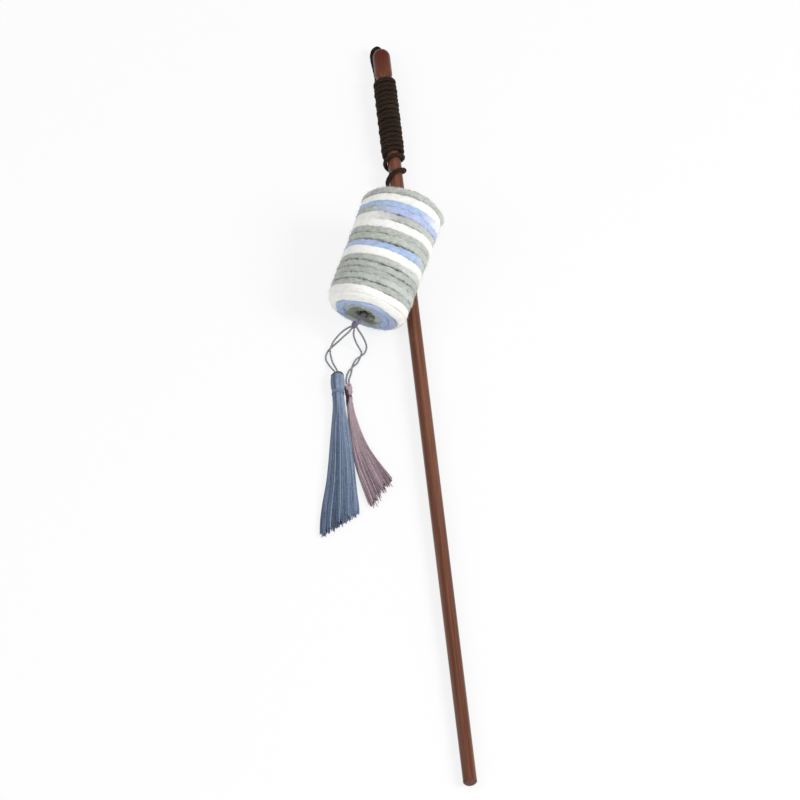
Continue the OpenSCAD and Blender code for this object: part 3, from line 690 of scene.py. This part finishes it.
# Heights in the roll where one turn ends and the next starts, on the side seen in the photo
SEEN_EDGES = np.array([26.2, 23.0, 19.6, 16.4, 13.0, 9.6, 6.1, 2.6, -1.5, -5.2, -8.5, -11.8, -15.0,
                       -18.3, -21.6])
NEAR_STEP, FAR_STEP = 3.25, 3.27
NEAR_EDGES, FAR_EDGES = 3, 5
YARN_RINGS_A_TURN = 150
# Turns are counted from the first seen edge, up towards the near face and down to the far one
LOOSE_SHIFT = 25
LOOSE_TURN = 0.5 + (LOOSE_ANGLE - LOOSE_SHIFT - SEEN_ANGLE) / 360


def crest(z):
    """How far the turns lean towards the near end on the roll's seen side."""
    return LEAN * np.clip((z + 29) / 36, 0, 1)


def section(travelled):
    """The yarn's middle line in section, and the way it faces, by the length travelled."""
    far = np.minimum(travelled, YARN_L - travelled)
    a = np.clip((far - FACE_L) / RIM, 0, np.pi / 2)
    r = np.where(far < FACE_L, START_R + far, PATH_R - RIM * (1 - np.sin(a)))
    z = np.where(far < FACE_L + BEND_L, -PATH_H + RIM * (1 - np.cos(a)),
                 -PATH_H + RIM + far - FACE_L - BEND_L)
    side = np.where(travelled < YARN_L / 2, 1.0, -1.0)
    return np.stack([r, z * side], -1), np.stack([np.sin(a), -np.cos(a) * side], -1)


def turn_edges():
    """Where each turn ends and the next starts, by length travelled and by turn."""
    seen = SEEN_EDGES - crest(SEEN_EDGES) + PATH_H - RIM + FACE_L + BEND_L
    near = seen[0] + NEAR_STEP * np.arange(NEAR_EDGES, 0, -1)
    far = seen[-1] - FAR_STEP * np.arange(1, FAR_EDGES + 1)
    turns = NEAR_EDGES - np.arange(NEAR_EDGES + len(seen) + FAR_EDGES)
    first = turns[0] + (YARN_L - near[0]) / NEAR_STEP
    last = turns[-1] - far[-1] / FAR_STEP
    return (np.concatenate([[YARN_L], near, seen, far, [0]])[::-1],
            np.concatenate([[first], turns, [last]])[::-1])


def yarn_route(turn, angle):
    """The yarn's middle line in the roll, and the way that its outer side faces."""
    mid, faces = section(np.interp(turn, EDGE_TURNS, EDGE_TRAVELLED))
    # One turn over the near rim is loose and stands out
    off = np.minimum(1, np.abs(turn - LOOSE_TURN) / np.where(turn > LOOSE_TURN, 1, 0.62))
    mid = mid + np.array([1, 0.5]) * (LOOSE_RISE * np.cos(np.pi / 2 * off) ** 2)[:, None]
    last_bit = np.exp(-(((turn - LOOSE_TURN - 0.07) / 0.06) ** 2))
    mid = mid + np.array([0.9, -0.5]) * last_bit[:, None]
    # No turn lies quite even
    slack = (0.17 * np.sin(0.31 * angle + 0.7) + 0.14 * np.sin(0.83 * angle + 2.1)
             + 0.2 * np.sin(2.7 * angle) * np.sin(0.37 * angle) + 0.11 * np.sin(5.3 * angle + 1))
    bulge = (0.12 * np.sin(0.47 * angle + 1.1) + 0.12 * np.sin(1.37 * angle)
             + 0.08 * np.sin(3.9 * angle) + 0.05 * np.sin(7.1 * angle + 2))
    mid = mid + np.stack([-faces[:, 1], faces[:, 0]], -1) * slack[:, None]
    mid = mid + faces * bulge[:, None]
    # The turns lean, and those at the near end sag on the side away from view
    seen = np.cos(angle - np.radians(SEEN_ANGLE))
    sag = np.maximum(-1.5, 1.7 * (seen - 1)) * np.clip((turn + 1.6) / 1.4, 0, 1)
    lean = (crest(mid[:, 1]) * seen + sag) * np.clip(mid[:, 0] / 12, 0, 1)
    # The hole in the far face lies a little aside
    aside = 0.35 * np.clip((9 - mid[:, 0]) / 5, 0, 1) * (mid[:, 1] < 0)
    on_roll = np.stack([mid[:, 0] * np.cos(angle) + aside * HOLE_WAY[0],
                        mid[:, 0] * np.sin(angle) + aside * HOLE_WAY[1], mid[:, 1] + lean], -1)
    out = faces[:, :1] * round_way(angle, roll_down, roll_left) + faces[:, 1:] * roll_up
    return on_roll, out


EDGE_TRAVELLED, EDGE_TURNS = turn_edges()
yarn_turn = np.linspace(EDGE_TURNS[0], EDGE_TURNS[-1],
                        int((EDGE_TURNS[-1] - EDGE_TURNS[0]) * YARN_RINGS_A_TURN))
yarn_angle = np.radians(SEEN_ANGLE) + TAU * (yarn_turn - 0.5)
yarn_on_roll, yarn_out = yarn_route(yarn_turn, yarn_angle)
yarn_line = in_roll(yarn_on_roll)
yarn_s = length_along(yarn_line)

# The striped yarn: its colours, from turn to turn
GREY, PALE, WHITE = (182, 186, 180), (208, 211, 206), (247, 247, 243)
SKY, LILAC, MOSS, FERN = (170, 192, 225), (182, 194, 229), (182, 187, 176), (84, 98, 72)
GREEN, RIM_GREY, DEEP = (192, 198, 191), (190, 193, 188), (128, 137, 122)
# Each stripe's colour and the turns where it is pure. The colours between are mixed.
STRIPES = [
    (DEEP, -19.9, -18.7), (GREY, -18.3), (MOSS, -17.85), (SKY, -17.7, -17), (LILAC, -16.6),
    (SKY, -16.3, -16.05), (WHITE, -15.95, -14.12), (GREY, -14.02, -12.6), (PALE, -12.3),
    (GREY, -11.9, -9.6), (PALE, -9.3, -8.98), (WHITE, -8.85, -8.2), (LILAC, -7.95, -7.66),
    (SKY, -7.55, -7.4), (GREEN, -7.33), (MOSS, -6.6), (GREEN, -6.3), (GREY, -5.9, -4.98),
    (WHITE, -4.82, -3.64), (GREY, -3.52), (PALE, -3.2), (GREY, -2.9, -2.66), (LILAC, -2.54, -2.35),
    (SKY, -2.2, -1.45), (WHITE, -1.33, -0.3), (RIM_GREY, -0.15, 0.6), (PALE, 0.9), (GREY, 2),
    (WHITE, 3), (SKY, 4)]
# Dark green places by the hole in the far face, down and left of the roll's middle
FERN_PLACES, FERN_SIZE = ((5.8, 8.4), (9.2, -2.0)), (1.3, 1.9)


def face_shift(turn, angle):
    """How far the colours of the far face are moved, which makes its rings uneven."""
    outer = 0.3 + 0.55 * np.cos(angle) - 0.15 * np.sin(angle) + 0.25 * np.cos(2 * angle)
    inner = 0.5 + 0.25 * np.cos(angle) + 0.45 * np.sin(angle) + 0.4 * np.cos(2 * angle)
    inner_share = np.clip((-16.2 - turn) / 0.8, 0, 1)
    return np.clip((-14.4 - turn) / 0.5, 0, 1) * (outer * (1 - inner_share) + inner * inner_share)


def yarn_tint(turn, angle, on_roll):
    """The yarn's colour at each ring."""
    at = [pure for _, *turns in STRIPES for pure in turns]
    rgb = np.array([linear(colour)[:3] for colour, *turns in STRIPES for _ in turns])
    place = turn - face_shift(turn, angle)
    tint = np.stack([np.interp(place, at, rgb[:, k]) for k in range(3)], 1)
    tint *= (1 + 0.05 * np.sin(1.9 * angle + 0.4) * np.sin(0.63 * angle))[:, None]
    for down, left in FERN_PLACES:
        off = ((on_roll[:, 0] - down) / FERN_SIZE[0]) ** 2 + ((on_roll[:, 1] - left) / FERN_SIZE[1]) ** 2
        much = np.where(on_roll[:, 2] < 0, np.exp(-off), 0)[:, None]
        tint = tint * (1 - much) + np.array(linear(FERN)[:3]) * much
    return tint


def tinted(made, colours):
    """Puts a colour at each point of a piece, for the yarn's material."""
    values = np.ones((len(made.data.vertices), 4), np.float32)
    values[:, :3] = colours
    attribute = made.data.attributes.new("tint", "FLOAT_COLOR", "POINT")
    attribute.data.foreach_set("color", values.ravel())


tint = yarn_tint(yarn_turn, yarn_angle, yarn_on_roll)
# How far the yarn is grey or blue, how far it is on the far face and how near that face's hole
grey_share = np.clip((0.8 - tint.mean(1)) / 0.3, 0, 1)
face_share = np.clip((-15.6 - yarn_turn) / 0.6, 0, 1)
hole_share = np.clip((-18.2 - yarn_turn) / 0.5, 0, 1)

# The striped yarn: its strand
YARN_SIDES, YARN_TWIST = 26, 55
TUFT_COUNT, TUFT_HEIGHT, TUFT_LIMIT = 16, 0.027, 0.06
SWELLINGS, SWELLING = 110, 0.075
YARN_LEAST_HEIGHT = 0.04
waves = np.random.default_rng(21)
TUFTS = [(waves.integers(1, 7), waves.uniform(0.4, 3.4) * waves.choice([-1, 1]), waves.uniform(0, 6.28))
         for _ in range(TUFT_COUNT)]


def strand(s, a):
    """Relief of one soft, lightly twisted strand with small tufts, pressed flat at its sides."""
    turned = a + TAU * s / YARN_TWIST
    r = 0.014 * np.cos(3 * turned + 0.6 * np.sin(0.21 * s)) + 0.012 * np.cos(7 * turned + 0.4 * s)
    for around, along, start in TUFTS:
        r = r + TUFT_HEIGHT * np.cos(around * a + along * s + start)
    r = np.minimum(r, TUFT_LIMIT + 0.4 * (r - TUFT_LIMIT))
    full = 3 + 2.5 * np.maximum(1 - grey_share, 0.9 * face_share * (1 - hole_share))[:, None]
    pressed = (np.abs(np.cos(a)) ** full + np.abs(np.sin(a)) ** full) ** (-1 / full)
    return pressed * (1 + r * (0.45 + 0.75 * grey_share[:, None]))


def yarn_thickness():
    """How thick the strand is along its length, with the loose turn drawn thin."""
    thick = np.ones(len(yarn_s))
    for _ in range(SWELLINGS):
        spot, reach, much = waves.uniform(0, yarn_s[-1]), waves.uniform(1.2, 5), waves.normal(0, SWELLING)
        thick += much * np.exp(-(((yarn_s - spot) / reach) ** 2))
    return thick * (1 - 0.26 * np.exp(-(((yarn_turn - LOOSE_TURN - 0.1) / 0.42) ** 2)))


def pressed_half_side():
    """Half the step to the next turn and a little more, so that the turns press together."""
    half_step = np.interp(yarn_turn, EDGE_TURNS, np.gradient(EDGE_TRAVELLED, EDGE_TURNS)) / 2
    uneven = 1 + 0.05 * np.sin(2.17 * yarn_angle) + 0.04 * np.sin(4.63 * yarn_angle + 1.3)
    return half_step * (1.24 - 0.14 * grey_share) * uneven * (1 - 0.08 * hole_share)


thickness = yarn_thickness()
yarn_half_out = YARN_D / 2 * thickness
yarn_half_side = pressed_half_side() * thickness


def add_yarn():
    rings, around = tube(yarn_line, yarn_out, yarn_half_out, yarn_half_side, YARN_SIDES, strand)
    keep_above(rings, YARN_LEAST_HEIGHT)
    turned = around + TAU * yarn_s[:, None] / YARN_TWIST
    near_rim = np.clip((yarn_turn + 0.4) / 0.3, 0, 1)
    # Painted shade in specks where neighbouring turns meet: most on grey turns, less by the near rim and
    # on the far face
    seam_shade_share = grey_share * (1 - 0.65 * near_rim) * (1 - 0.8 * face_share)
    pile = Pile()
    pile.add(rings, lay_x=1.2 * np.cos(turned), lay_y=1.2 * np.sin(turned), lay_z=0.26 * yarn_s,
             seam=np.clip((np.abs(np.sin(around)) - 0.55) / 0.3, 0, 1) * seam_shade_share[:, None],
             coarse=grey_share)
    yarn = pile.piece("yarn_roll", YARN, "roll", "striped_yarn", ("yarn_winding",))
    tinted(yarn, np.repeat(tint, YARN_SIDES, axis=0))


add_yarn()

# Short loose fibres on the yarn
FIBRES, QUICK_FIBRES, FIBRE_R, FIBRE_SIDES, FIBRE_POINTS = 11000, 400, 0.028, 3, 4
FIBRE_LEAN, FIBRE_L, FIBRE_LEAST_HEIGHT = 1.25, (0.8, 2.2), 0.08


def add_fibres():
    draws = np.random.default_rng(7)
    count = FIBRES
    way = ways_of(yarn_line)
    high = square(yarn_out, way)
    wide = np.cross(way, high)
    pick = draws.integers(0, len(yarn_line) - 1, count)
    lean = draws.uniform(-FIBRE_LEAN, FIBRE_LEAN, count)
    share = np.linspace(0, 1, FIBRE_POINTS)[:, None]
    pile = Pile()
    for i, a in zip(pick, lean):
        grow = unit(np.cos(a) * high[i] + np.sin(a) * wide[i])
        foot = (yarn_line[i] + yarn_half_out[i] * np.cos(a) * high[i]
                + yarn_half_side[i] * np.sin(a) * wide[i])
        ahead = unit(way[i] * draws.choice([-1, 1]) + 0.5 * draws.normal(size=3))
        long = draws.uniform(*FIBRE_L)
        line = foot + long * (share * ahead + grow * 0.2 * np.sin(share * np.pi * 0.85))
        keep_above(line, FIBRE_LEAST_HEIGHT)
        rings, _ = tube(line, np.broadcast_to(grow, line.shape), FIBRE_R, FIBRE_R, FIBRE_SIDES)
        pile.add(rings, lay_x=long, lay_y=a, lay_z=0.0, seam=0.0, coarse=0.0)
    fibres = pile.piece("yarn_fibres", YARN, "roll", "striped_yarn")
    tinted(fibres, np.repeat(tint[pick], FIBRE_POINTS * FIBRE_SIDES, axis=0))


add_fibres()

# The tassels. Heads: place along and width. Skirts: place along, sideways, width, thickness, slant.
# Places are shares of the tassel's length, skirt widths of its width, and the rest of its head's
# width. Slants and headings are in degrees.
BLUE_HEADS = [[0, 0.4], [0.015, 0.78], [0.045, 0.98], [0.085, 1], [0.115, 0.9]]
BLUE_SKIRT = [
    [0.165, 0.003, 0.285, 0.77, 0], [0.235, 0.007, 0.315, 0.78, 0], [0.36, 0.012, 0.41, 0.76, 0],
    [0.48, 0.0134, 0.52, 0.72, 0], [0.61, 0.0134, 0.63, 0.68, 0], [0.72, 0.0115, 0.735, 0.64, 6],
    [0.84, 0.006, 0.9, 0.6, 16], [0.93, 0.002, 1.06, 0.56, 28], [1, 0, 1.2, 0.5, 38]]
MAUVE_HEADS = [[0, 0.45], [0.012, 0.8], [0.035, 0.98], [0.065, 1], [0.095, 0.85]]
MAUVE_SKIRT = [
    [0.145, -0.026, 0.17, 0.85, 0], [0.22, -0.036, 0.2, 0.9, 0], [0.32, -0.045, 0.25, 0.95, 0],
    [0.42, -0.052, 0.33, 1, 0], [0.54, -0.053, 0.47, 1, 0], [0.64, -0.048, 0.6, 1, 4],
    [0.76, -0.036, 0.78, 1, 10], [0.88, -0.019, 0.98, 0.95, 22], [1, 0, 1.24, 0.85, 33]]
BLUE_BAND, MAUVE_BAND = 0.138, 0.12
# The dark core inside each tassel is painted shade between its threads
OUTER_SHARE, CORE_SHARE, CORE_SIDES, CORE_PAINTED_SHADE = 0.62, 0.84, 28, 0.12
WAIST_SECTION, WRAP_GAP = 6, 0.02


class Tassel:
    """The sections of one tassel, from the top of its head to its end on the table."""

    def __init__(self, body, sizes, heads, band, skirt, top, heading):
        length, width, head_d, waist_d, band_t, self.band_l = sizes
        self.body, self.waist_r = body, waist_d / 2
        mid_z = self.waist_r + BAND_FIT + band_t
        first, third = skirt[0], skirt[2]
        rows = [[s, first[1] * s / first[0], share * head_d, share * head_d, mid_z, 0, 0]
                for s, share in heads]
        rows += [[band + side * (first[0] - band) / 2, first[1] * band / first[0], waist_d, waist_d,
                  mid_z, 0, 0] for side in (-1, 0, 1)]
        for s, aside, wide, thick, slant in skirt:
            flat = min(1, (s - first[0]) / (third[0] - first[0]))
            thick = thick * head_d
            height = mid_z * (1 - flat) + thick / 2 * flat
            rows.append([s, aside, wide * width, thick, height, slant, flat])
        s, aside, wide, thick, height, slant, self.flat = np.array(rows).T
        a = np.radians(heading)
        self.s = s * length
        self.half_w, self.half_t = wide / 2, thick / 2
        self.mids = np.stack([top[0] + self.s * np.cos(a) - aside * length * np.sin(a),
                              top[1] + self.s * np.sin(a) + aside * length * np.cos(a), height], 1)
        plan = self.mids * [1, 1, 0]
        self.way = unit(np.vstack([plan[1] - plan[0], plan[2:] - plan[:-2], plan[-1] - plan[-2]]))
        slant = np.radians(slant)[:, None]
        square_on = np.cross(self.way, UP)
        self.side = square_on * np.cos(slant) + self.way * np.sin(slant)
        self.power = 1 - 0.15 * self.flat

    def points(self, a_cos, a_sin, share, lift=1.0):
        """Points at a share of each section's half width and half thickness."""
        across = share * rounded(a_cos, self.power) * self.half_w
        down = share * lift * rounded(a_sin, self.power) * self.half_t
        return self.mids + self.side * across[:, None] - UP * down[:, None]


def rounded(value, power):
    return np.sign(value) * np.abs(value) ** power


def add_tassel(tassel, threads, thread_r, material, ragged, locks, painted_side_shade, seed):
    """Threads in locks, from the top of the head through the waist to the ragged end."""
    draws = np.random.default_rng(seed)
    flat = tassel.flat
    outer = int(threads * OUTER_SHARE)
    phis = np.concatenate([np.linspace(0, TAU, outer, endpoint=False),
                           draws.uniform(0, TAU, threads - outer)])
    depths = np.concatenate([draws.uniform(0.86, 0.97, outer), draws.uniform(0.25, 0.8, threads - outer)])
    lock_shares = draws.uniform(0, 1, locks)
    pile = Pile()
    for phi, depth in zip(phis, depths):
        lock = lock_shares[int(phi / TAU * locks) % locks]
        pulled = phi - 0.1 * np.sin(phi * locks)
        a_cos = np.cos(phi) * (1 - flat) + np.cos(pulled) * flat
        a_sin = np.sin(phi) * (1 - flat) + np.sin(pulled) * flat
        p = tassel.points(a_cos, a_sin, depth, 1 - 0.16 * lock * flat)
        stretch = draws.normal(0, ragged) - ragged * 0.8 * lock
        p[-1] += tassel.way[-1] * stretch
        p[-2] += tassel.way[-2] * stretch * 0.4
        bend = draws.normal(0, 0.3, 3) * [1, 1, 0.4]
        p += np.outer(flat**2 * np.linspace(0, 1.6, len(p)), bend)
        line = spline(p, 1.1)
        share = np.linspace(0, 1, len(line))
        sway = np.sin(draws.uniform(7, 15) * share + draws.uniform(0, 6.28))
        line += (sway * np.linspace(0.02, 0.16, len(line)))[:, None] * [1, 0, 0.4]
        keep_above(line, thread_r + LEAST_HEIGHT)
        s = length_along(line)
        r = thread_r * np.interp(s, [0, 12, 30], [0.8, 0.85, 1])
        # Each thread's shade: a random tone for the thread and its lock, painted shade on the inner
        # threads, painted shade on one side of the tassel and painted light on the other, lighter by the
        # head and darker towards the thread's end
        shade = (0.52 + 0.2 * draws.normal() + 0.24 * (lock - 0.5) - 0.3 * (0.9 - depth)
                 + painted_side_shade * np.cos(phi) + 0.14 * np.exp(-s / 9) - 0.22 * share**4)
        pile.thread(line, np.broadcast_to(UP, line.shape), r, r, 5, np.clip(shade, 0, 0.8))
    # A dark inner sheet: painted shade between the threads
    pile.add(painted_shade_core(tassel), along=tassel.s[1:], around=0.0, shade=CORE_PAINTED_SHADE)
    body = tassel.body
    pile.piece(body + "_tassel_threads", material, body, body + "_thread", (body + "_tassel",))


def painted_shade_core(tassel):
    """Rings of a dark inner sheet that paints the shade between the threads, and ends short of them."""
    a = np.linspace(0, TAU, CORE_SIDES, endpoint=False)
    rings = np.stack([tassel.points(np.cos(x), np.sin(x), CORE_SHARE) for x in a], 1)
    rings[-1] -= tassel.way[-1] * 2.2
    return rings[1:]


def add_binding(tassel, wrap_r, material, slot):
    """Thread wrapped round the waist's middle section, drawn tight."""
    mid, way = tassel.mids[WAIST_SECTION], tassel.way[WAIST_SECTION]
    rounds = tassel.band_l / (wrap_r * 1.9)
    share = np.linspace(0, 1, int(rounds * 40))
    out = round_way(TAU * rounds * share, np.cross(way, UP), UP)
    line = mid + way * ((share - 0.5) * tassel.band_l)[:, None]
    line += out * (tassel.waist_r + WRAP_GAP + wrap_r)
    pile = Pile()
    pile.thread(line, out, wrap_r, wrap_r * 1.02, 10, shade=0.5)
    body = tassel.body
    pile.piece(body + "_binding_wraps", material, body, slot, (body + "_binding",))


blue_tassel = Tassel("blue", BLUE_SIZES, BLUE_HEADS, BLUE_BAND, BLUE_SKIRT,
                     from_crown([-38, -181, 0]), 265.3)
mauve_tassel = Tassel("mauve", MAUVE_SIZES, MAUVE_HEADS, MAUVE_BAND, MAUVE_SKIRT,
                      from_crown([-33.5, -186.6, 0]), 278.2)
add_tassel(blue_tassel, 300, 0.215, BLUE, ragged=0.8, locks=15, painted_side_shade=-0.2, seed=509)
add_tassel(mauve_tassel, 210, 0.19, MAUVE, ragged=1.0, locks=11, painted_side_shade=0.12, seed=430)
add_binding(blue_tassel, 0.28, BLUE, "blue_thread")
add_binding(mauve_tassel, 0.22, BAND, "binding_thread")

# What is tied round the heads
BLUE_RING_AT, BLUE_RING_OUT, BLUE_RING_WAVE = 1.5, 2.72, 0.35
MAUVE_RING_MID = from_crown([-33.55, -188.9, 3.35])
MAUVE_HEAD_AT = [0, 0.8, 2.2, 4.2, 6.1, 7, 9.3, 13]
MAUVE_HEAD_R = [0.8, 1.3, 1.6, 1.6, 1.4, 1.1, 1.25, 1.45]
BRAID_STEP, DARK_THREADS = 4.6, 4


def by_head(tassel, at, angle, radius):
    """Points round a tassel's head by distance from its top, and the way out there."""
    s = length_along(tassel.mids)
    mids = np.stack([np.interp(at, s, tassel.mids[:, k]) for k in range(3)], -1)
    way = unit(tassel.mids[4] - tassel.mids[0])
    out = round_way(angle, np.cross(way, UP), UP)
    return mids + out * np.asarray(radius)[..., None], out, way


def add_blue_ring():
    a = np.linspace(0, TAU, 90)
    line, out, way = by_head(blue_tassel, BLUE_RING_AT, a, BLUE_RING_OUT)
    line = line + way * (BLUE_RING_WAVE * np.sin(a * 2 + 0.4))[:, None]
    pile = Pile()
    pile.thread(line, out, 0.3, 0.32, 10, shade=0.4)
    pile.piece("blue_head_ring", KNOT, "blue", "loop_thread")


def add_mauve_braid():
    """A small thread ring on the head and threads braided round it."""
    a = np.linspace(0, TAU, 60)
    ring = MAUVE_RING_MID + np.stack([1.15 * np.cos(a), 1.25 * np.sin(a), 0.35 * np.cos(a)], 1)
    pile = Pile()
    pile.thread(ring, unit(ring - MAUVE_RING_MID), 0.34, 0.34, 10, shade=0.75)
    at = np.linspace(0.6, 12, 160)
    radius = np.interp(at, MAUVE_HEAD_AT, MAUVE_HEAD_R) + 0.1
    for hand in (-1, 1):
        for start in (0, np.pi):
            angle = start + hand * TAU * at / BRAID_STEP
            line, out, _ = by_head(mauve_tassel, at, angle, radius)
            keep_above(line, 0.25)
            pile.thread(line, out, 0.2, 0.24, 8, shade=0.6)
    pile.piece("mauve_head_braid", MAUVE, "mauve", "mauve_thread")


def add_dark_threads():
    """Dark threads that lie side by side along the small tassel's neck."""
    pile = Pile()
    for k in range(DARK_THREADS):
        at = np.linspace(3.4 + 0.4 * k, 12.6 - 0.5 * k, 60)
        radius = np.interp(at, MAUVE_HEAD_AT, MAUVE_HEAD_R) + 0.26
        line, out, _ = by_head(mauve_tassel, at, np.full(len(at), 0.35 + 0.33 * k), radius)
        pile.thread(line, out, 0.2, 0.22, 8, shade=0.4, along=at)
    pile.piece("mauve_dark_threads", BAND, "mauve", "binding_thread")


add_blue_ring()
add_mauve_braid()
add_dark_threads()

# Floor, world and lamps
FLOOR_HALF, FLOOR_DROP, FLOOR_GREY, FLOOR_WHITE = 8, 0.00005, 0.93, 0.8
WORLD_LIGHT = 0.55
LAMPS_AIM = Vector((0, 0.02, 0))


def white_in_sight(tree, lit, white_kind, other_ray, most):
    """Plain white for rays from the camera and of one other kind, mixed over what is lit."""
    kinds = (white_kind, "LightPath", "Math", "Math", "MixShader")
    white, rays, seen, part, mixed = (tree.nodes.new("ShaderNode" + kind) for kind in kinds)
    white.inputs[0].default_value, white.inputs[1].default_value = grey(1), 1.0
    seen.operation, part.operation = "MAXIMUM", "MULTIPLY"
    part.inputs[1].default_value = most
    for source, target in (
            (rays.outputs["Is Camera Ray"], seen.inputs[0]), (rays.outputs[other_ray], seen.inputs[1]),
            (seen.outputs[0], part.inputs[0]), (part.outputs[0], mixed.inputs[0]),
            (lit.outputs[0], mixed.inputs[1]), (white.outputs[0], mixed.inputs[2])):
        tree.links.new(source, target)
    return mixed.outputs[0]


def paper():
    made = bpy.data.materials.new("paper_floor")
    made.use_nodes = True
    tree = made.node_tree
    tree.nodes.clear()
    lit = tree.nodes.new("ShaderNodeBsdfDiffuse")
    lit.inputs[0].default_value = grey(FLOOR_GREY)
    output = tree.nodes.new("ShaderNodeOutputMaterial")
    tree.links.new(white_in_sight(tree, lit, "Emission", "Is Glossy Ray", FLOOR_WHITE), output.inputs[0])
    return made


def add_floor():
    mesh = bpy.data.meshes.new("floor")
    corners = [(x * FLOOR_HALF, y * FLOOR_HALF, 0) for x, y in ((-1, -1), (1, -1), (1, 1), (-1, 1))]
    mesh.from_pydata(corners, [], [(0, 1, 2, 3)])
    mesh.materials.append(paper())
    floor = in_scene("floor", mesh)
    floor.location.z = -FLOOR_DROP


def add_world():
    world = bpy.data.worlds.new("studio")
    bpy.context.scene.world = world
    world.use_nodes = True
    tree = world.node_tree
    base = tree.nodes["Background"]
    base.inputs[0].default_value, base.inputs[1].default_value = grey(1), WORLD_LIGHT
    mixed = white_in_sight(tree, base, "Background", "Is Transmission Ray", 1.0)
    tree.links.new(mixed, tree.nodes["World Output"].inputs[0])


def add_lamp(name, way, distance, size, watts):
    data = bpy.data.lights.new(name, "AREA")
    data.shape, data.size, data.energy = "DISK", size, watts
    lamp = in_scene(name, data)
    way = Vector(unit(way).tolist())
    lamp.location = LAMPS_AIM + way * distance
    lamp.rotation_mode = "QUATERNION"
    lamp.rotation_quaternion = way.to_track_quat("Z", "Y")


add_floor()
add_world()
add_lamp("key", (0.72, -0.35, 0.75), 1.6, 0.7, 14)
add_lamp("fill", (-0.8, -0.2, 0.9), 1.8, 1.2, 6)
bpy.context.scene.view_settings.view_transform = "Standard"
